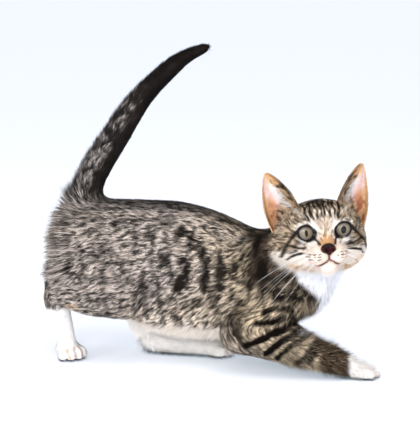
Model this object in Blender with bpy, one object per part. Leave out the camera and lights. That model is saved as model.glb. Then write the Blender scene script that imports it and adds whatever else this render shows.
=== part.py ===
"""A young domestic shorthair cat, crouched in mid-step with its head turned to its right.

A still life-size model, modelled whole and parted with thin cuts. Sizes are in millimetres and
become metres where a mesh is made. X runs from the tail to the chest, Y to the cat's left side
and Z up, and the feet stand on Z = 0. The head has its own axes: forward, left and up.
"""

import math

import bmesh
import bpy
import numpy as np
from mathutils import Matrix, Vector

MM = 0.001
GAP = 0.3  # left open between two nodes that meet
FAR = 1000.0
MOST_MELT = 15  # beyond this a form no longer shapes the outline

# The middle of the whole cat's box, taken off every point so that the model stands on the origin.
MIDDLE = np.array([3.9, -1.1, 0.0])

BODY_VOXEL = 2.1
HEAD_VOXEL = 1.05
REGION_VOXEL = 4.0
BODY_TRIANGLES = 4700
HEAD_TRIANGLES = 5200

# Rows of the trunk: place along X, height of the back, height of the belly, half width.
TRUNK = (
    (-98, 126, 70, 27),
    (-85, 128, 50, 33),
    (-70, 128.4, 38, 36),
    (-50, 128.5, 28.5, 39),
    (-25, 128, 23.5, 40),
    (0, 123, 22.5, 38),
    (20, 115.5, 24.5, 35),
    (40, 106, 28, 32),
    (58, 99, 32, 29),
    (71, 90, 41, 24),
)
BELLY_FULLNESS = 0.14  # how much wider the trunk is low down than it is near the spine

TAIL_POINTS = (
    (-101, 0, 118),
    (-97.5, 0, 142),
    (-74, 0, 180.6),
    (-55, 0, 208),
    (-32.6, 0, 230),
    (-19, 0, 240.5),
    (-5, 0, 247),
)
TAIL_RADII = (15, 12, 10.8, 8.9, 6.8, 4.9, 3.2)

HEAD_CENTRE = np.array([90.5, -16.0, 110.0])
HEAD_YAW, HEAD_PITCH, HEAD_ROLL = -70.6, 5.0, 5.1  # degrees: to its right, up, tipped to its right

# Places in the head's axes, for its left side.
EYE_RADIUS = 9.6
EYE_PLACE = (12.5, 14.3, 3.2)
EYE_TURN_OUT = 9.0  # degrees
LID_THICKNESS = 1.7
OPENING_HALF_WIDTH, OPENING_HALF_HEIGHT = 8.2, 6.1
OPENING_SLANT = 26.0  # degrees: the outer corner is the higher one
OPENING_PLACE = (14.0, 2.0)  # out from the middle of the face, and up
OPENING_POINTED = 1.12  # above 1 the almond's corners are sharper than an ellipse's

NOSE_PLACE = (33.2, 0.0, -9.6)
NOSE_PAD = (4.6, 6.3, 2.9)
NOSE_LOWER = (4.5, 3.0, 2.9)
NOSTRIL = (2.6, 1.5, 1.0)
NOSTRIL_PLACE = (4.2, 3.1, -0.3)  # from the nose's place

EAR_BASE = (-4.0, 25.5, 14.0)
EAR_TIP = (-4.0, 35.8, 47.0)
EAR_FACING = (0.86, 0.5, 0.0)
EAR_ROOT = -0.42  # how far below its base the cup starts, as a share of its height
EAR_HALF_WIDTH = 14.2
EAR_DEPTH = 10.5
EAR_WRAP, EAR_TIP_WRAP = 112, 70  # degrees to each side that the cup wraps round, low and at the tip
EAR_THICK, EAR_EDGE = 2.0, 0.9

# The head ends at one cut across the neck and another under the chin.
NECK_CUT, NECK_CUT_FACING = (-16.8, -10.5, -6.9), (0.8, 0.5, 0.33)
CHIN_CUT = (0.0, 0.0, -32.0)

MOUTH = ((34.5, 0, -19.2), (32.5, 5.0, -21.6), (27.5, 10.0, -22.4))
MOUTH_RADIUS = 0.75
PHILTRUM = ((37, 0, -13.2), (36, 0, -16.5), (34.5, 0, -20.0))
PHILTRUM_RADIUS = 0.5

# The colour and the roughness of each kind of surface.
FINISHES = {
    "tabby": ((0.25, 0.21, 0.175), 0.85),
    "white": ((0.86, 0.83, 0.79), 0.85),
    "ear": ((0.60, 0.36, 0.24), 0.6),
    "nose": ((0.09, 0.022, 0.027), 0.4),
    "eye": ((0.31, 0.31, 0.21), 0.05),
}


def smooth(values, t):
    """A Catmull-Rom curve through the rows of values, at the places t counted in rows."""
    rows = np.asarray(values, float)
    padded = np.vstack([2 * rows[0] - rows[1], rows, 2 * rows[-1] - rows[-2]])
    i = np.clip(t.astype(int), 0, len(rows) - 2)
    s = (t - i)[:, None]
    a, b, c, d = (padded[i + k] for k in range(4))
    return 0.5 * (2 * b + (c - a) * s + (2 * a - 5 * b + 4 * c - d) * s**2 + (3 * b - a - 3 * c + d) * s**3)


class Ball:
    """An ellipsoid, turned about Z in degrees."""

    def __init__(self, centre, radii, turn=0.0):
        self.centre = np.array(centre, float)
        self.radii = np.array(radii, float) * np.ones(3)
        self.axes = np.array(Matrix.Rotation(math.radians(turn), 3, "Z"))

    def distance(self, points):
        local = (points - self.centre) @ self.axes
        near = np.linalg.norm(local / self.radii, axis=1)
        steep = np.linalg.norm(local / self.radii**2, axis=1)
        return near * (near - 1) / np.maximum(steep, 1e-6)

    def balls(self):
        yield self.centre, self.axes, self.radii


class Tube:
    """A round tube through a smooth curve, in straight lengths of about step."""

    def __init__(self, points, radii, step=5.0):
        rows = np.column_stack([np.asarray(points, float), np.asarray(radii, float)])
        length = np.linalg.norm(np.diff(rows[:, :3], axis=0), axis=1).sum()
        count = max(4, int(length / step))
        rows = smooth(rows, np.linspace(0, len(rows) - 1, count))
        self.points, self.radii = rows[:, :3], rows[:, 3]

    def distance(self, points):
        reach = self.radii.max() + MOST_MELT
        low, high = self.points.min(axis=0) - reach, self.points.max(axis=0) + reach
        close = np.flatnonzero(((points > low) & (points < high)).all(axis=1))
        found = np.full(len(points), FAR)
        near = points[close]
        best = np.full(len(close), FAR)
        for a, b, ra, rb in zip(self.points, self.points[1:], self.radii, self.radii[1:]):
            along = b - a
            t = np.clip((near - a) @ along / (along @ along), 0, 1)
            off = near - a - t[:, None] * along
            best = np.minimum(best, np.linalg.norm(off, axis=1) - ra - t * (rb - ra))
        found[close] = best
        return found

    def balls(self):
        for centre, radius in zip(self.points, self.radii):
            yield centre, np.eye(3), np.full(3, radius)


class Trunk:
    """The body between the legs, from the rump to the chest."""

    rows = np.array(TRUNK, float)

    def section(self, x):
        """Middle height, half height and half width at the places x."""
        t = np.interp(x, self.rows[:, 0], np.arange(len(self.rows)))
        _, top, bottom, wide = smooth(self.rows, t).T
        return (top + bottom) / 2, (top - bottom) / 2, wide

    def distance(self, points):
        x = np.clip(points[:, 0], self.rows[0, 0], self.rows[-1, 0])
        middle, half, wide = self.section(x)
        up = points[:, 2] - middle
        across = wide * (1 - BELLY_FULLNESS * np.clip(up / half, -1, 1))
        side = points[:, 1] * half / across
        return np.sqrt((points[:, 0] - x) ** 2 + up**2 + side**2) - half

    def balls(self):
        for x in np.arange(self.rows[0, 0], self.rows[-1, 0] + 1, 6.0):
            middle, half, wide = (float(v[0]) for v in self.section(np.array([x])))
            yield np.array([x, 0, middle]), np.eye(3), np.array([half, wide, half])


class Placed:
    """A form given in the head's own axes."""

    def __init__(self, form):
        self.form = form

    def distance(self, points):
        return self.form.distance((points - HEAD_CENTRE) @ HEAD_AXES)

    def balls(self):
        for centre, axes, radii in self.form.balls():
            yield HEAD_CENTRE + HEAD_AXES @ centre, HEAD_AXES @ axes, radii


def head_axes(yaw, pitch, roll):
    """Columns are the head's forward, left and up."""
    yaw, pitch, roll = (math.radians(angle) for angle in (yaw, pitch, roll))
    level = math.cos(pitch)
    forward = np.array([level * math.cos(yaw), level * math.sin(yaw), math.sin(pitch)])
    left = np.array([-math.sin(yaw), math.cos(yaw), 0.0])
    up = np.cross(forward, left)
    tilted = left * math.cos(roll) + up * math.sin(roll)
    return np.column_stack([forward, tilted, np.cross(forward, tilted)])


HEAD_AXES = head_axes(HEAD_YAW, HEAD_PITCH, HEAD_ROLL)


def both(make):
    """The two mirrored copies of a form of the head."""
    return [make(-1), make(1)]


def paw(centre, heading, size=1.0, height=1.0):
    """The pad of a foot with four toes in a fan, heading in degrees from +X."""
    ahead = np.array([math.cos(math.radians(heading)), math.sin(math.radians(heading)), 0])
    side = np.array([-ahead[1], ahead[0], 0])
    middle = np.array(centre, float)
    pad = (Ball(middle, (10 * size, 9.6 * size, 7.6 * height), heading), 3.0)
    toes = []
    for across, forward, wide in ((-7.4, 5.2, 3.9), (-2.7, 8.2, 4.1), (2.7, 8.2, 4.1), (7.4, 5.2, 3.9)):
        place = middle + size * (ahead * forward + side * across)
        place[2] = 4.9 * height
        toes.append((Ball(place, (6.4 * size, wide * size, 5.6 * height), heading + across * 2), 1.6))
    return [pad, *toes]


# Each limb is a list of forms, each with the width over which it melts into those before it.
LEGS = {
    "hind_right": [
        (Tube(((-92, -14, 98), (-86, -22, 80), (-70, -30, 62), (-60, -34, 54)), (25, 27, 20, 15)), 6),
        (Tube(((-100, -13, 94), (-109, -24, 70)), (22, 13)), 8),
        (Tube(((-60, -34, 54), (-84, -32, 53), (-104, -31, 56), (-117, -30, 62)),
              (14.5, 14.5, 12.5, 7.4)), 6),
        (Tube(((-118, -29, 62), (-117.5, -27, 51), (-116, -23.5, 37), (-113.8, -19.5, 24), (-113, -17, 11)),
              (7.4, 11, 9, 7.7, 8)), 5),
        *paw((-112.5, -15.5, 7.4), -45, 1.08, 1.08),
    ],
    "hind_left": [
        (Tube(((-92, 14, 98), (-80, 24, 76), (-45, 30, 52), (-22, 32, 41)), (25, 26, 20, 14)), 6),
        (Tube(((-100, 13, 94), (-102, 20, 74)), (22, 14)), 8),
        (Ball((-60, 23, 38), (19, 15, 22)), 8),
        (Tube(((-22, 32, 41), (-40, 27, 27), (-53, 23, 14)), (14, 12.5, 10.5)), 5),
        (Tube(((-53, 22, 11.5), (-38, 20.5, 10.4), (-20, 21, 9.2), (-6, 22, 8.4)), (11, 10.4, 9.3, 8.8)), 3),
        *paw((-3, 22, 7.2), 2, 1.0, 1.0),
    ],
    "fore_right": [
        (Ball((50, -18, 74), (30, 16, 34)), 8),
        (Tube(((72, -22, 60), (52, -31, 44), (33, -36, 33)), (15, 16, 15)), 8),
        (Tube(((33, -36, 33), (57, -35, 28.5), (78, -32, 22), (93, -30, 17.5), (106, -28, 13.3),
               (117, -25, 7.8)), (15.5, 16, 14.2, 12, 10.3, 6.8)), 6),
        *paw((121.5, -22.5, 5.8), 14, 0.98, 0.84),
    ],
    "fore_left": [
        (Ball((50, 18, 74), (30, 16, 34)), 8),
        (Tube(((70, 22, 60), (52, 31, 42), (38, 32, 29)), (15, 16, 13)), 8),
        (Tube(((38, 32, 28), (60, 28, 18), (76, 22.5, 10)), (13, 11.5, 8)), 6),
        *paw((83, 20, 5.8), -8, 0.98, 0.84),
    ],
}

HEAD_FORMS = [
    (Ball((-6, 0, 0), (30, 34, 25)), 10),
    (Ball((1, -19.5, -9), (19, 19, 17.5)), 7),
    (Ball((4, 16.5, -11), (18, 17.5, 17.5)), 7),
    (Ball((6, 0, 8.5), (17, 20, 15.2)), 8),
    (Ball((8, 0, -17), (20, 19, 12)), 6),
    (Tube(((6, 0, 5), (19, 0, -1.2), (32, 0, -9.2)), (14, 7, 4.6)), 5),
    (Ball((20, 0, -12), (12, 13.5, 10)), 4),
    *[(ball, 2.4) for ball in both(lambda side: Ball((26.2, 6.6 * side, -15.6), (9.8, 8.2, 7)))],
    (Ball((23, 0, -23.6), (8.6, 7.6, 5.8)), 2.0),
    *[(ball, 2.6) for ball in both(lambda side: Ball(
        (EYE_PLACE[0], EYE_PLACE[1] * side, EYE_PLACE[2]), EYE_RADIUS + LID_THICKNESS))],
]
HEAD_FORMS = [(Placed(form), width) for form, width in HEAD_FORMS]

# Where each leg's node ends in the body. The forms of a region melt into each other more softly.
REGION_MELT = 10
LEG_REGIONS = {
    "hindleg_right": [
        Ball((-96, -41, 76), (40, 27, 45)),
        Tube(((-60, -38, 52), (-84, -36, 51), (-104, -34, 54), (-118, -33, 62)), (20, 20, 18, 13)),
    ],
    "hindleg_left": [
        Ball((-94, 41, 76), (40, 27, 45)),
        Tube(((-66, 38, 56), (-24, 35, 40), (-45, 30, 34), (-68, 24, 18)), (24, 17, 18, 19)),
    ],
    "foreleg_right": [
        Ball((52, -41, 66), (37, 27, 43)),
        Tube(((30, -38, 32), (57, -36, 29), (80, -33, 23), (106, -29, 14)), (22, 22, 20, 17)),
    ],
    "foreleg_left": [
        Ball((52, 41, 66), (37, 27, 43)),
        Tube(((34, 36, 30), (60, 30, 19), (74, 24, 12)), (20, 18, 15)),
    ],
}

NECK = [
    (Tube(((36, 0, 78), (60, -1, 86), (84, -3, 98)), (25, 24.5, 22)), 12),
    (Tube(((73, -2, 68), (89, -8, 87)), (19, 19)), 12),
]
TAIL = [(Tube(TAIL_POINTS, TAIL_RADII), 9)]


def melt(a, b, width):
    """The smaller of two distances, rounded where they are within width of each other."""
    h = np.maximum(width - np.abs(a - b), 0) / width
    return np.minimum(a, b) - h * h * width / 4


def joined(forms, points):
    found = np.full(len(points), FAR)
    for form, width in forms:
        found = melt(found, form.distance(points), width)
    return found


def outline(points):
    """How far each point lies outside the cat's coat, in millimetres."""
    found = Trunk().distance(points)
    found = melt(found, joined(NECK, points), 12)
    found = melt(found, joined(TAIL, points), 9)
    for leg in LEGS.values():
        found = melt(found, joined(leg, points), 6)
    return melt(found, joined(HEAD_FORMS, points), 8)


def settle(points, distance, level=0.0, rounds=5):
    """Moves the points along the slope to where the distance is the level."""
    for _ in range(rounds):
        value = distance(points)
        slope = np.stack([distance(points + step) - value for step in 0.05 * np.eye(3)], axis=1) / 0.05
        steep = np.maximum((slope**2).sum(axis=1), 0.2)
        points = points - slope * np.clip((value - level) / steep, -3, 3)[:, None]
    return points


def new_object(name, mesh):
    obj = bpy.data.objects.new(name, mesh)
    bpy.context.scene.collection.objects.link(obj)
    return obj


def object_of(name, points, faces):
    """A mesh object from points in millimetres."""
    mesh = bpy.data.meshes.new(name)
    mesh.from_pydata([Vector(p) * MM for p in np.asarray(points, float) - MIDDLE], [], faces)
    return new_object(name, mesh)


def points_of(obj):
    places = np.empty(len(obj.data.vertices) * 3)
    obj.data.vertices.foreach_get("co", places)
    return places.reshape(-1, 3) / MM + MIDDLE


def move_points(obj, points):
    obj.data.vertices.foreach_set("co", ((points - MIDDLE) * MM).ravel())
    obj.data.update()


def apply(obj):
    """Makes the modifiers part of the mesh."""
    bpy.context.view_layer.update()
    graph = bpy.context.evaluated_depsgraph_get()
    old = obj.data
    obj.data = bpy.data.meshes.new_from_object(obj.evaluated_get(graph))
    obj.modifiers.clear()
    bpy.data.meshes.remove(old)


def with_bmesh(obj, change):
    mesh = bmesh.new()
    mesh.from_mesh(obj.data)
    change(mesh)
    bmesh.ops.recalc_face_normals(mesh, faces=mesh.faces)
    mesh.to_mesh(obj.data)
    mesh.free()


def discard(obj):
    mesh = obj.data
    bpy.data.objects.remove(obj)
    bpy.data.meshes.remove(mesh)


def keep_largest(obj):
    """Drops every closed surface but the largest."""
    mesh = bmesh.new()
    mesh.from_mesh(obj.data)
    left = set(mesh.verts)
    pieces = []
    while left:
        piece, edge = set(), [left.pop()]
        while edge:
            vertex = edge.pop()
            piece.add(vertex)
            near = {link.other_vert(vertex) for link in vertex.link_edges} & left
            left -= near
            edge.extend(near)
        pieces.append(piece)
    pieces.sort(key=len)
    for piece in pieces[:-1]:
        bmesh.ops.delete(mesh, geom=list(piece), context="VERTS")
    mesh.to_mesh(obj.data)
    mesh.free()


def fused(name, balls, voxel):
    """One closed mesh round all the balls, each a centre, axes and radii."""
    mesh = bmesh.new()
    for centre, axes, radii in balls:
        matrix = Matrix(axes).to_4x4() @ Matrix.Diagonal((*(radii * MM), 1))
        matrix.translation = Vector((centre - MIDDLE) * MM)
        bmesh.ops.create_icosphere(mesh, subdivisions=3, radius=1, matrix=matrix)
    data = bpy.data.meshes.new(name)
    mesh.to_mesh(data)
    mesh.free()
    obj = new_object(name, data)
    remesh = obj.modifiers.new("Remesh", "REMESH")
    remesh.mode = "VOXEL"
    remesh.voxel_size = voxel * MM
    apply(obj)
    return obj


def coat_mesh(name, forms, voxel, triangles):
    """The outline's closed mesh where the forms lie, with about this many triangles."""
    obj = fused(name, [ball for form, _ in forms for ball in form.balls()], voxel)
    move_points(obj, settle(points_of(obj), outline))
    relax = obj.modifiers.new("Relax", "SMOOTH")
    relax.factor = 0.5
    relax.iterations = 3
    apply(obj)
    move_points(obj, settle(points_of(obj), outline, rounds=3))
    fewer = obj.modifiers.new("Fewer", "DECIMATE")
    triangulated = sum(len(face.vertices) - 2 for face in obj.data.polygons)
    fewer.ratio = triangles / triangulated
    apply(obj)
    return obj


def box_object(name, face, direction, length, width, height, extra=0.0):
    """A box that starts at the point face and runs along the direction, its height near Z."""
    ahead = Vector(direction).normalized()
    side = Vector((0, 0, 1)).cross(ahead)
    if side.length < 0.1:
        side = Vector((0, 1, 0))
    side.normalize()
    axes = np.column_stack([ahead, side, ahead.cross(side)])
    signs = np.array([(x, y, z) for x in (0, 1) for y in (-0.5, 0.5) for z in (-0.5, 0.5)])
    sizes = np.array([length, width, height])
    corners = signs * sizes + extra * np.sign(signs - np.array([0.5, 0, 0]))
    faces = [(0, 1, 3, 2), (4, 6, 7, 5), (0, 4, 5, 1), (2, 3, 7, 6), (0, 2, 6, 4), (1, 5, 7, 3)]
    obj = object_of(name, corners @ axes.T + np.array(face, float), faces)
    with_bmesh(obj, lambda mesh: None)
    return obj


def as_cutter(obj):
    obj.hide_render = True
    obj.display_type = "WIRE"
    return obj


def boolean(obj, other, operation, solver="EXACT"):
    """Applies the Boolean and removes the other object."""
    modifier = obj.modifiers.new(operation.title(), "BOOLEAN")
    modifier.operation = operation
    modifier.solver = solver
    modifier.object = as_cutter(other)
    apply(obj)
    discard(other)


def copy_of(obj, name):
    return new_object(name, obj.data.copy())


def part_off(obj, name, region):
    """Takes the part of obj inside the region off it as a node, leaving the gap between them."""
    node = copy_of(obj, name)
    boolean(node, region(0.0), "INTERSECT", "MANIFOLD")
    boolean(obj, region(GAP), "DIFFERENCE", "MANIFOLD")
    keep_largest(node)
    keep_largest(obj)
    return node


def box_region(*sizes):
    """A region that is a box."""
    return lambda extra: box_object("region", *sizes, extra)


def limb_region(forms):
    """A region that follows the forms round a limb."""
    forms = [(form, REGION_MELT) for form in forms]
    base = fused("limb_region", [ball for form, _ in forms for ball in form.balls()], REGION_VOXEL)

    def distance(points):
        return joined(forms, points)

    move_points(base, settle(points_of(base), distance))
    fewer = base.modifiers.new("Fewer", "DECIMATE")
    fewer.ratio = 0.2
    apply(base)
    as_cutter(base)

    def region(extra):
        obj = copy_of(base, "region")
        move_points(obj, settle(points_of(obj), distance, extra))
        return obj

    return region


def in_head(points):
    """Points of the head's own axes, in the cat's."""
    return HEAD_CENTRE + np.asarray(points, float) @ HEAD_AXES.T


def placed_direction(direction):
    return HEAD_AXES @ np.array(direction, float)


def sphere(name, centre, radii, rings=14, turn=None):
    """A smooth ball of the head, its poles along forward, or along turn's first column."""
    axes = np.eye(3) if turn is None else turn
    mesh = bmesh.new()
    bmesh.ops.create_uvsphere(mesh, u_segments=rings, v_segments=rings // 2, radius=1)
    points = np.array([vertex.co for vertex in mesh.verts])[:, [2, 0, 1]] * radii
    faces = [[vertex.index for vertex in face.verts] for face in mesh.faces]
    mesh.free()
    return object_of(name, in_head(points @ np.transpose(axes) + np.array(centre)), faces)


def eye_axes(side):
    """The eye's own forward, left and up, in the head's axes."""
    turned = Matrix.Rotation(math.radians(EYE_TURN_OUT * side), 3, "Z")
    return np.array(turned)


def eye_centre(side):
    return np.array([EYE_PLACE[0], EYE_PLACE[1] * side, EYE_PLACE[2]])


def prism(name, outline_points, near, far, side):
    """A prism along the head's forward axis over the outline's points, each left and up."""
    count = len(outline_points)
    flat = np.array(outline_points, float)
    points = [(x, y * side, z) for x in (near, far) for y, z in flat]
    ends = [list(range(count)), list(range(2 * count - 1, count - 1, -1))]
    walls = [[i, count + i, count + (i + 1) % count, (i + 1) % count] for i in range(count)]
    obj = object_of(name, in_head(points), ends + walls)
    with_bmesh(obj, lambda mesh: None)
    return obj


def lid_opening(side, count=40):
    """The almond between the lids, as a prism through them."""
    slant = math.radians(OPENING_SLANT)
    points = []
    for i in range(count):
        angle = math.tau * i / count
        along = OPENING_HALF_WIDTH * math.cos(angle)
        full = abs(math.sin(angle)) ** OPENING_POINTED
        across = OPENING_HALF_HEIGHT * math.copysign(full, math.sin(angle))
        points.append((
            OPENING_PLACE[0] + along * math.cos(slant) - across * math.sin(slant),
            OPENING_PLACE[1] + along * math.sin(slant) + across * math.cos(slant),
        ))
    return prism("opening", points, EYE_PLACE[0] + 3, EYE_PLACE[0] + 25, side)


def groove(name, points, radius):
    """A tube along the skin through the points, given in the head's axes, to cut a line with."""
    path = smooth(in_head(points), np.linspace(0, len(points) - 1, 5 * len(points)))
    path = settle(path, outline, rounds=8)
    curve = bpy.data.curves.new(name, "CURVE")
    curve.dimensions = "3D"
    curve.bevel_depth = radius * MM
    curve.bevel_resolution = 1
    curve.use_fill_caps = True
    spline = curve.splines.new("POLY")
    spline.points.add(len(path) - 1)
    for point, place in zip(spline.points, path):
        point.co = (*((place - MIDDLE) * MM), 1)
    obj = new_object(name, curve)
    bpy.context.view_layer.update()
    mesh = bpy.data.meshes.new_from_object(obj.evaluated_get(bpy.context.evaluated_depsgraph_get()))
    bpy.data.objects.remove(obj)
    tube = new_object(name, mesh)
    with_bmesh(tube, lambda bm: bmesh.ops.remove_doubles(bm, verts=bm.verts, dist=0.001 * MM))
    return tube


def nose_solid(name, extra=0.0):
    """The bare tip of the nose: a wide pad above a narrow one."""
    x, y, z = NOSE_PLACE
    obj = sphere(name, (x, y, z + 0.3), np.array(NOSE_PAD) + extra, 18)
    boolean(obj, sphere("lower", (x - 0.2, y, z - 2.3), np.array(NOSE_LOWER) + extra), "UNION")
    return obj


def ear_solid(side, rows=13, columns=13):
    """A thin cup, its mouth forward and a little outward, that starts inside the head."""
    base = np.array([EAR_BASE[0], EAR_BASE[1] * side, EAR_BASE[2]])
    tip = np.array([EAR_TIP[0], EAR_TIP[1] * side, EAR_TIP[2]])
    up = (tip - base) / np.linalg.norm(tip - base)
    facing = np.array(EAR_FACING) * np.array([1, side, 1])
    facing -= up * (facing @ up)
    facing /= np.linalg.norm(facing)
    across = np.cross(up, facing)
    outer = []
    for v in np.linspace(EAR_ROOT, 0.985, rows):
        rise = max(v, 0.0)
        full = (1 - rise**2) ** 0.68
        wrap = math.radians(EAR_WRAP + (EAR_TIP_WRAP - EAR_WRAP) * rise)
        for angle in np.linspace(-wrap, wrap, columns):
            wide = EAR_HALF_WIDTH * full * math.sin(angle)
            back = EAR_DEPTH * (0.3 + 0.7 * (1 - rise)) * full * math.cos(angle)
            outer.append(base + (tip - base) * v + across * wide - facing * back)
    outer = np.array(outer).reshape(rows, columns, 3)
    normal = np.cross(np.gradient(outer, axis=0), np.gradient(outer, axis=1))
    normal /= np.linalg.norm(normal, axis=2)[..., None]
    if (normal[rows // 2, columns // 2] @ facing) < 0:
        normal = -normal
    edge = np.minimum(1, 3 * (1 - np.abs(np.linspace(-1, 1, columns))))[None, :]
    high = np.minimum(1, 3 * (1 - np.linspace(0, 1, rows)))[:, None]
    thick = EAR_EDGE + (EAR_THICK - EAR_EDGE) * edge * high
    inner = outer + normal * thick[..., None]
    points = np.concatenate([outer.reshape(-1, 3), inner.reshape(-1, 3)])
    size = rows * columns
    faces = []
    for i in range(rows - 1):
        for j in range(columns - 1):
            a = i * columns + j
            b, c, d = a + 1, a + columns + 1, a + columns
            faces += [(a, b, c, d), (size + d, size + c, size + b, size + a)]
    rim = list(range(columns))
    rim += [i * columns + columns - 1 for i in range(1, rows)]
    rim += [(rows - 1) * columns + j for j in range(columns - 2, -1, -1)]
    rim += [i * columns for i in range(rows - 2, 0, -1)]
    for a, b in zip(rim, rim[1:] + rim[:1]):
        faces.append((a, size + a, size + b, b))
    obj = object_of("ear_left" if side > 0 else "ear_right", in_head(points), faces)
    with_bmesh(obj, lambda mesh: bmesh.ops.triangulate(mesh, faces=mesh.faces))
    return obj


def grown_copy(obj, name, extra):
    """A copy of the object, larger by extra all round."""
    copy = copy_of(obj, name)
    normals = np.empty(len(copy.data.vertices) * 3)
    copy.data.vertices.foreach_get("normal", normals)
    move_points(copy, points_of(copy) + extra * normals.reshape(-1, 3))
    return copy


def head_region(extra):
    """All that lies in front of the neck's cut and above the chin's."""
    length, width = 110, 160
    neck_facing, up = placed_direction(NECK_CUT_FACING), placed_direction((0, 0, 1))
    front = box_object("region", in_head([NECK_CUT])[0], neck_facing, length, width, width, extra)
    above = box_object("above", in_head([CHIN_CUT])[0], up, length, width, width, extra)
    boolean(front, above, "INTERSECT")
    return front


def make_head():
    """The head with its eyes, nose and ears."""
    forms = HEAD_FORMS + NECK
    head = coat_mesh("head", forms, HEAD_VOXEL, HEAD_TRIANGLES)
    bare = copy_of(head, "bare")
    nodes = []
    for side, name in ((-1, "right"), (1, "left")):
        ear = ear_solid(side)
        boolean(ear, grown_copy(bare, "head_grown", GAP), "DIFFERENCE")
        keep_largest(ear)
        nodes.append(ear)
        place, turn = eye_centre(side), eye_axes(side)
        nodes.append(sphere(f"eye_{name}", place, np.full(3, EYE_RADIUS), 24, turn))
        boolean(head, sphere("socket", place, np.full(3, EYE_RADIUS + GAP), 24, turn), "DIFFERENCE")
        boolean(head, lid_opening(side), "DIFFERENCE")
    boolean(head, nose_solid("nose_pocket", GAP), "DIFFERENCE")
    nose = nose_solid("nose")
    for side in (-1, 1):
        mirror = np.array([1, side, 1])
        place = np.array(NOSE_PLACE) + np.array(NOSTRIL_PLACE) * mirror
        boolean(nose, sphere("nostril", place, np.array(NOSTRIL), 12), "DIFFERENCE")
        boolean(head, groove("mouth", np.array(MOUTH) * mirror, MOUTH_RADIUS), "DIFFERENCE")
    nodes.append(nose)
    boolean(head, groove("philtrum", PHILTRUM, PHILTRUM_RADIUS), "DIFFERENCE")
    boolean(head, head_region(0.0), "INTERSECT", "MANIFOLD")
    keep_largest(head)
    discard(bare)
    return [head, *nodes]


def make_body():
    """The body without its head, parted into its nodes."""
    forms = [(Trunk(), 0)] + NECK + TAIL + [form for leg in LEGS.values() for form in leg] + HEAD_FORMS[:1]
    body = coat_mesh("torso", forms, BODY_VOXEL, BODY_TRIANGLES)
    boolean(body, box_object("floor", (0, 0, 0), (0, 0, -1), 30, 400, 400), "DIFFERENCE")
    boolean(body, head_region(GAP), "DIFFERENCE", "MANIFOLD")
    regions = {
        "tail_tip": box_region((-60, 0, 198), (0.66, 0, 0.75), 120, 80, 80),
        "tail_base": box_region((-80, 0, 130.5), (0, 0, 1), 100, 60, 100),
        "forepaw_right": box_region((105, -28, 14), (0.93, 0.1, -0.35), 60, 40, 60),
        "forepaw_left": box_region((70, 24, 13), (0.9, -0.2, -0.38), 60, 32, 44),
        "hindfoot_right": box_region((-113, -24, 52), (-0.73, 0, -0.68), 90, 62, 140),
        "hindfoot_left": box_region((-72, 24, 6), (1, 0, 0), 112, 44, 24),
        "neck": box_region((62, 0, 84), (0.7, 0, 0.71), 90, 120, 120),
    }
    for name, forms in LEG_REGIONS.items():
        regions[name] = limb_region(forms)
    nodes = [part_off(body, name, region) for name, region in regions.items()]
    for obj in list(bpy.data.objects):
        if obj.name.startswith("limb_region"):
            discard(obj)
    return [body, *nodes]


def finish_of(name):
    """The kind of surface that a node has."""
    for kind in ("ear", "nose", "eye"):
        if name.startswith(kind):
            return kind
    return "white" if name.startswith(("forepaw", "hindfoot")) else "tabby"


def look(node):
    """Gives a node smooth shading and a material of its own."""
    colour, roughness = FINISHES[finish_of(node.name)]
    material = bpy.data.materials.new(node.name)
    material.use_nodes = True
    shader = material.node_tree.nodes["Principled BSDF"]
    shader.inputs["Base Color"].default_value = (*colour, 1)
    shader.inputs["Roughness"].default_value = roughness
    shader.inputs["Metallic"].default_value = 0.0
    material.diffuse_color = (*colour, 1)
    node.data.materials.clear()
    node.data.materials.append(material)
    node.data.shade_smooth()


def main():
    for obj in list(bpy.data.objects):
        bpy.data.objects.remove(obj)
    for node in make_head() + make_body():
        look(node)


main()
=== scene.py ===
"""The looks of a young tabby and white shorthair cat: its skin, fur, ears, eyes, nose and whiskers.

Sizes are in millimetres and become metres where a mesh is made. X runs from the tail to the chest,
Y to the cat's left side and Z up. The forms are the source's own, so the coat's tips end where the
solids do. Everything is still, so each piece rides on the one body.
"""

import math
from contextlib import contextmanager
from copy import copy

import bmesh
import bpy
import numpy as np
from mathutils import Matrix, Vector


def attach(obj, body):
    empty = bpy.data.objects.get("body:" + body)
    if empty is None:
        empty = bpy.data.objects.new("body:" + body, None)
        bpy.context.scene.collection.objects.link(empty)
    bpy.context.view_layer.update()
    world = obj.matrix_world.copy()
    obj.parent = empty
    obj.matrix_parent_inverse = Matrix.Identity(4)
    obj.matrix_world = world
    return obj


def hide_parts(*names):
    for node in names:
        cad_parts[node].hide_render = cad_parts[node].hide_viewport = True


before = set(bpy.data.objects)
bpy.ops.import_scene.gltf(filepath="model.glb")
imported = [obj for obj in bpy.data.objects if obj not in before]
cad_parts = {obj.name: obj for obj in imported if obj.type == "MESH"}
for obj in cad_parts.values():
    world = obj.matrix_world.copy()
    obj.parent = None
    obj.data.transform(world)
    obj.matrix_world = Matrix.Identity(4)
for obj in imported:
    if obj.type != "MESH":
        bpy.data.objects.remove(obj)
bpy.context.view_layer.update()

MM = 0.001
# A distance beyond every form, and the widest melt between two of them.
FAR = 1000.0
MOST_MELT = 15.0
# The point of these coordinates that lies at the frame's origin.
MIDDLE = np.array([3.9, -1.1, 0.0])

# Rows of the trunk: place along X, height of the back, height of the belly, half width.
TRUNK = (
    (-98, 126, 70, 27),
    (-85, 128, 50, 33),
    (-70, 128.4, 38, 36),
    (-50, 128.5, 28.5, 39),
    (-25, 128, 23.5, 40),
    (0, 123, 22.5, 38),
    (20, 115.5, 24.5, 35),
    (40, 106, 28, 32),
    (58, 99, 32, 29),
    (71, 90, 41, 24),
)
BELLY_FULLNESS = 0.14

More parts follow.
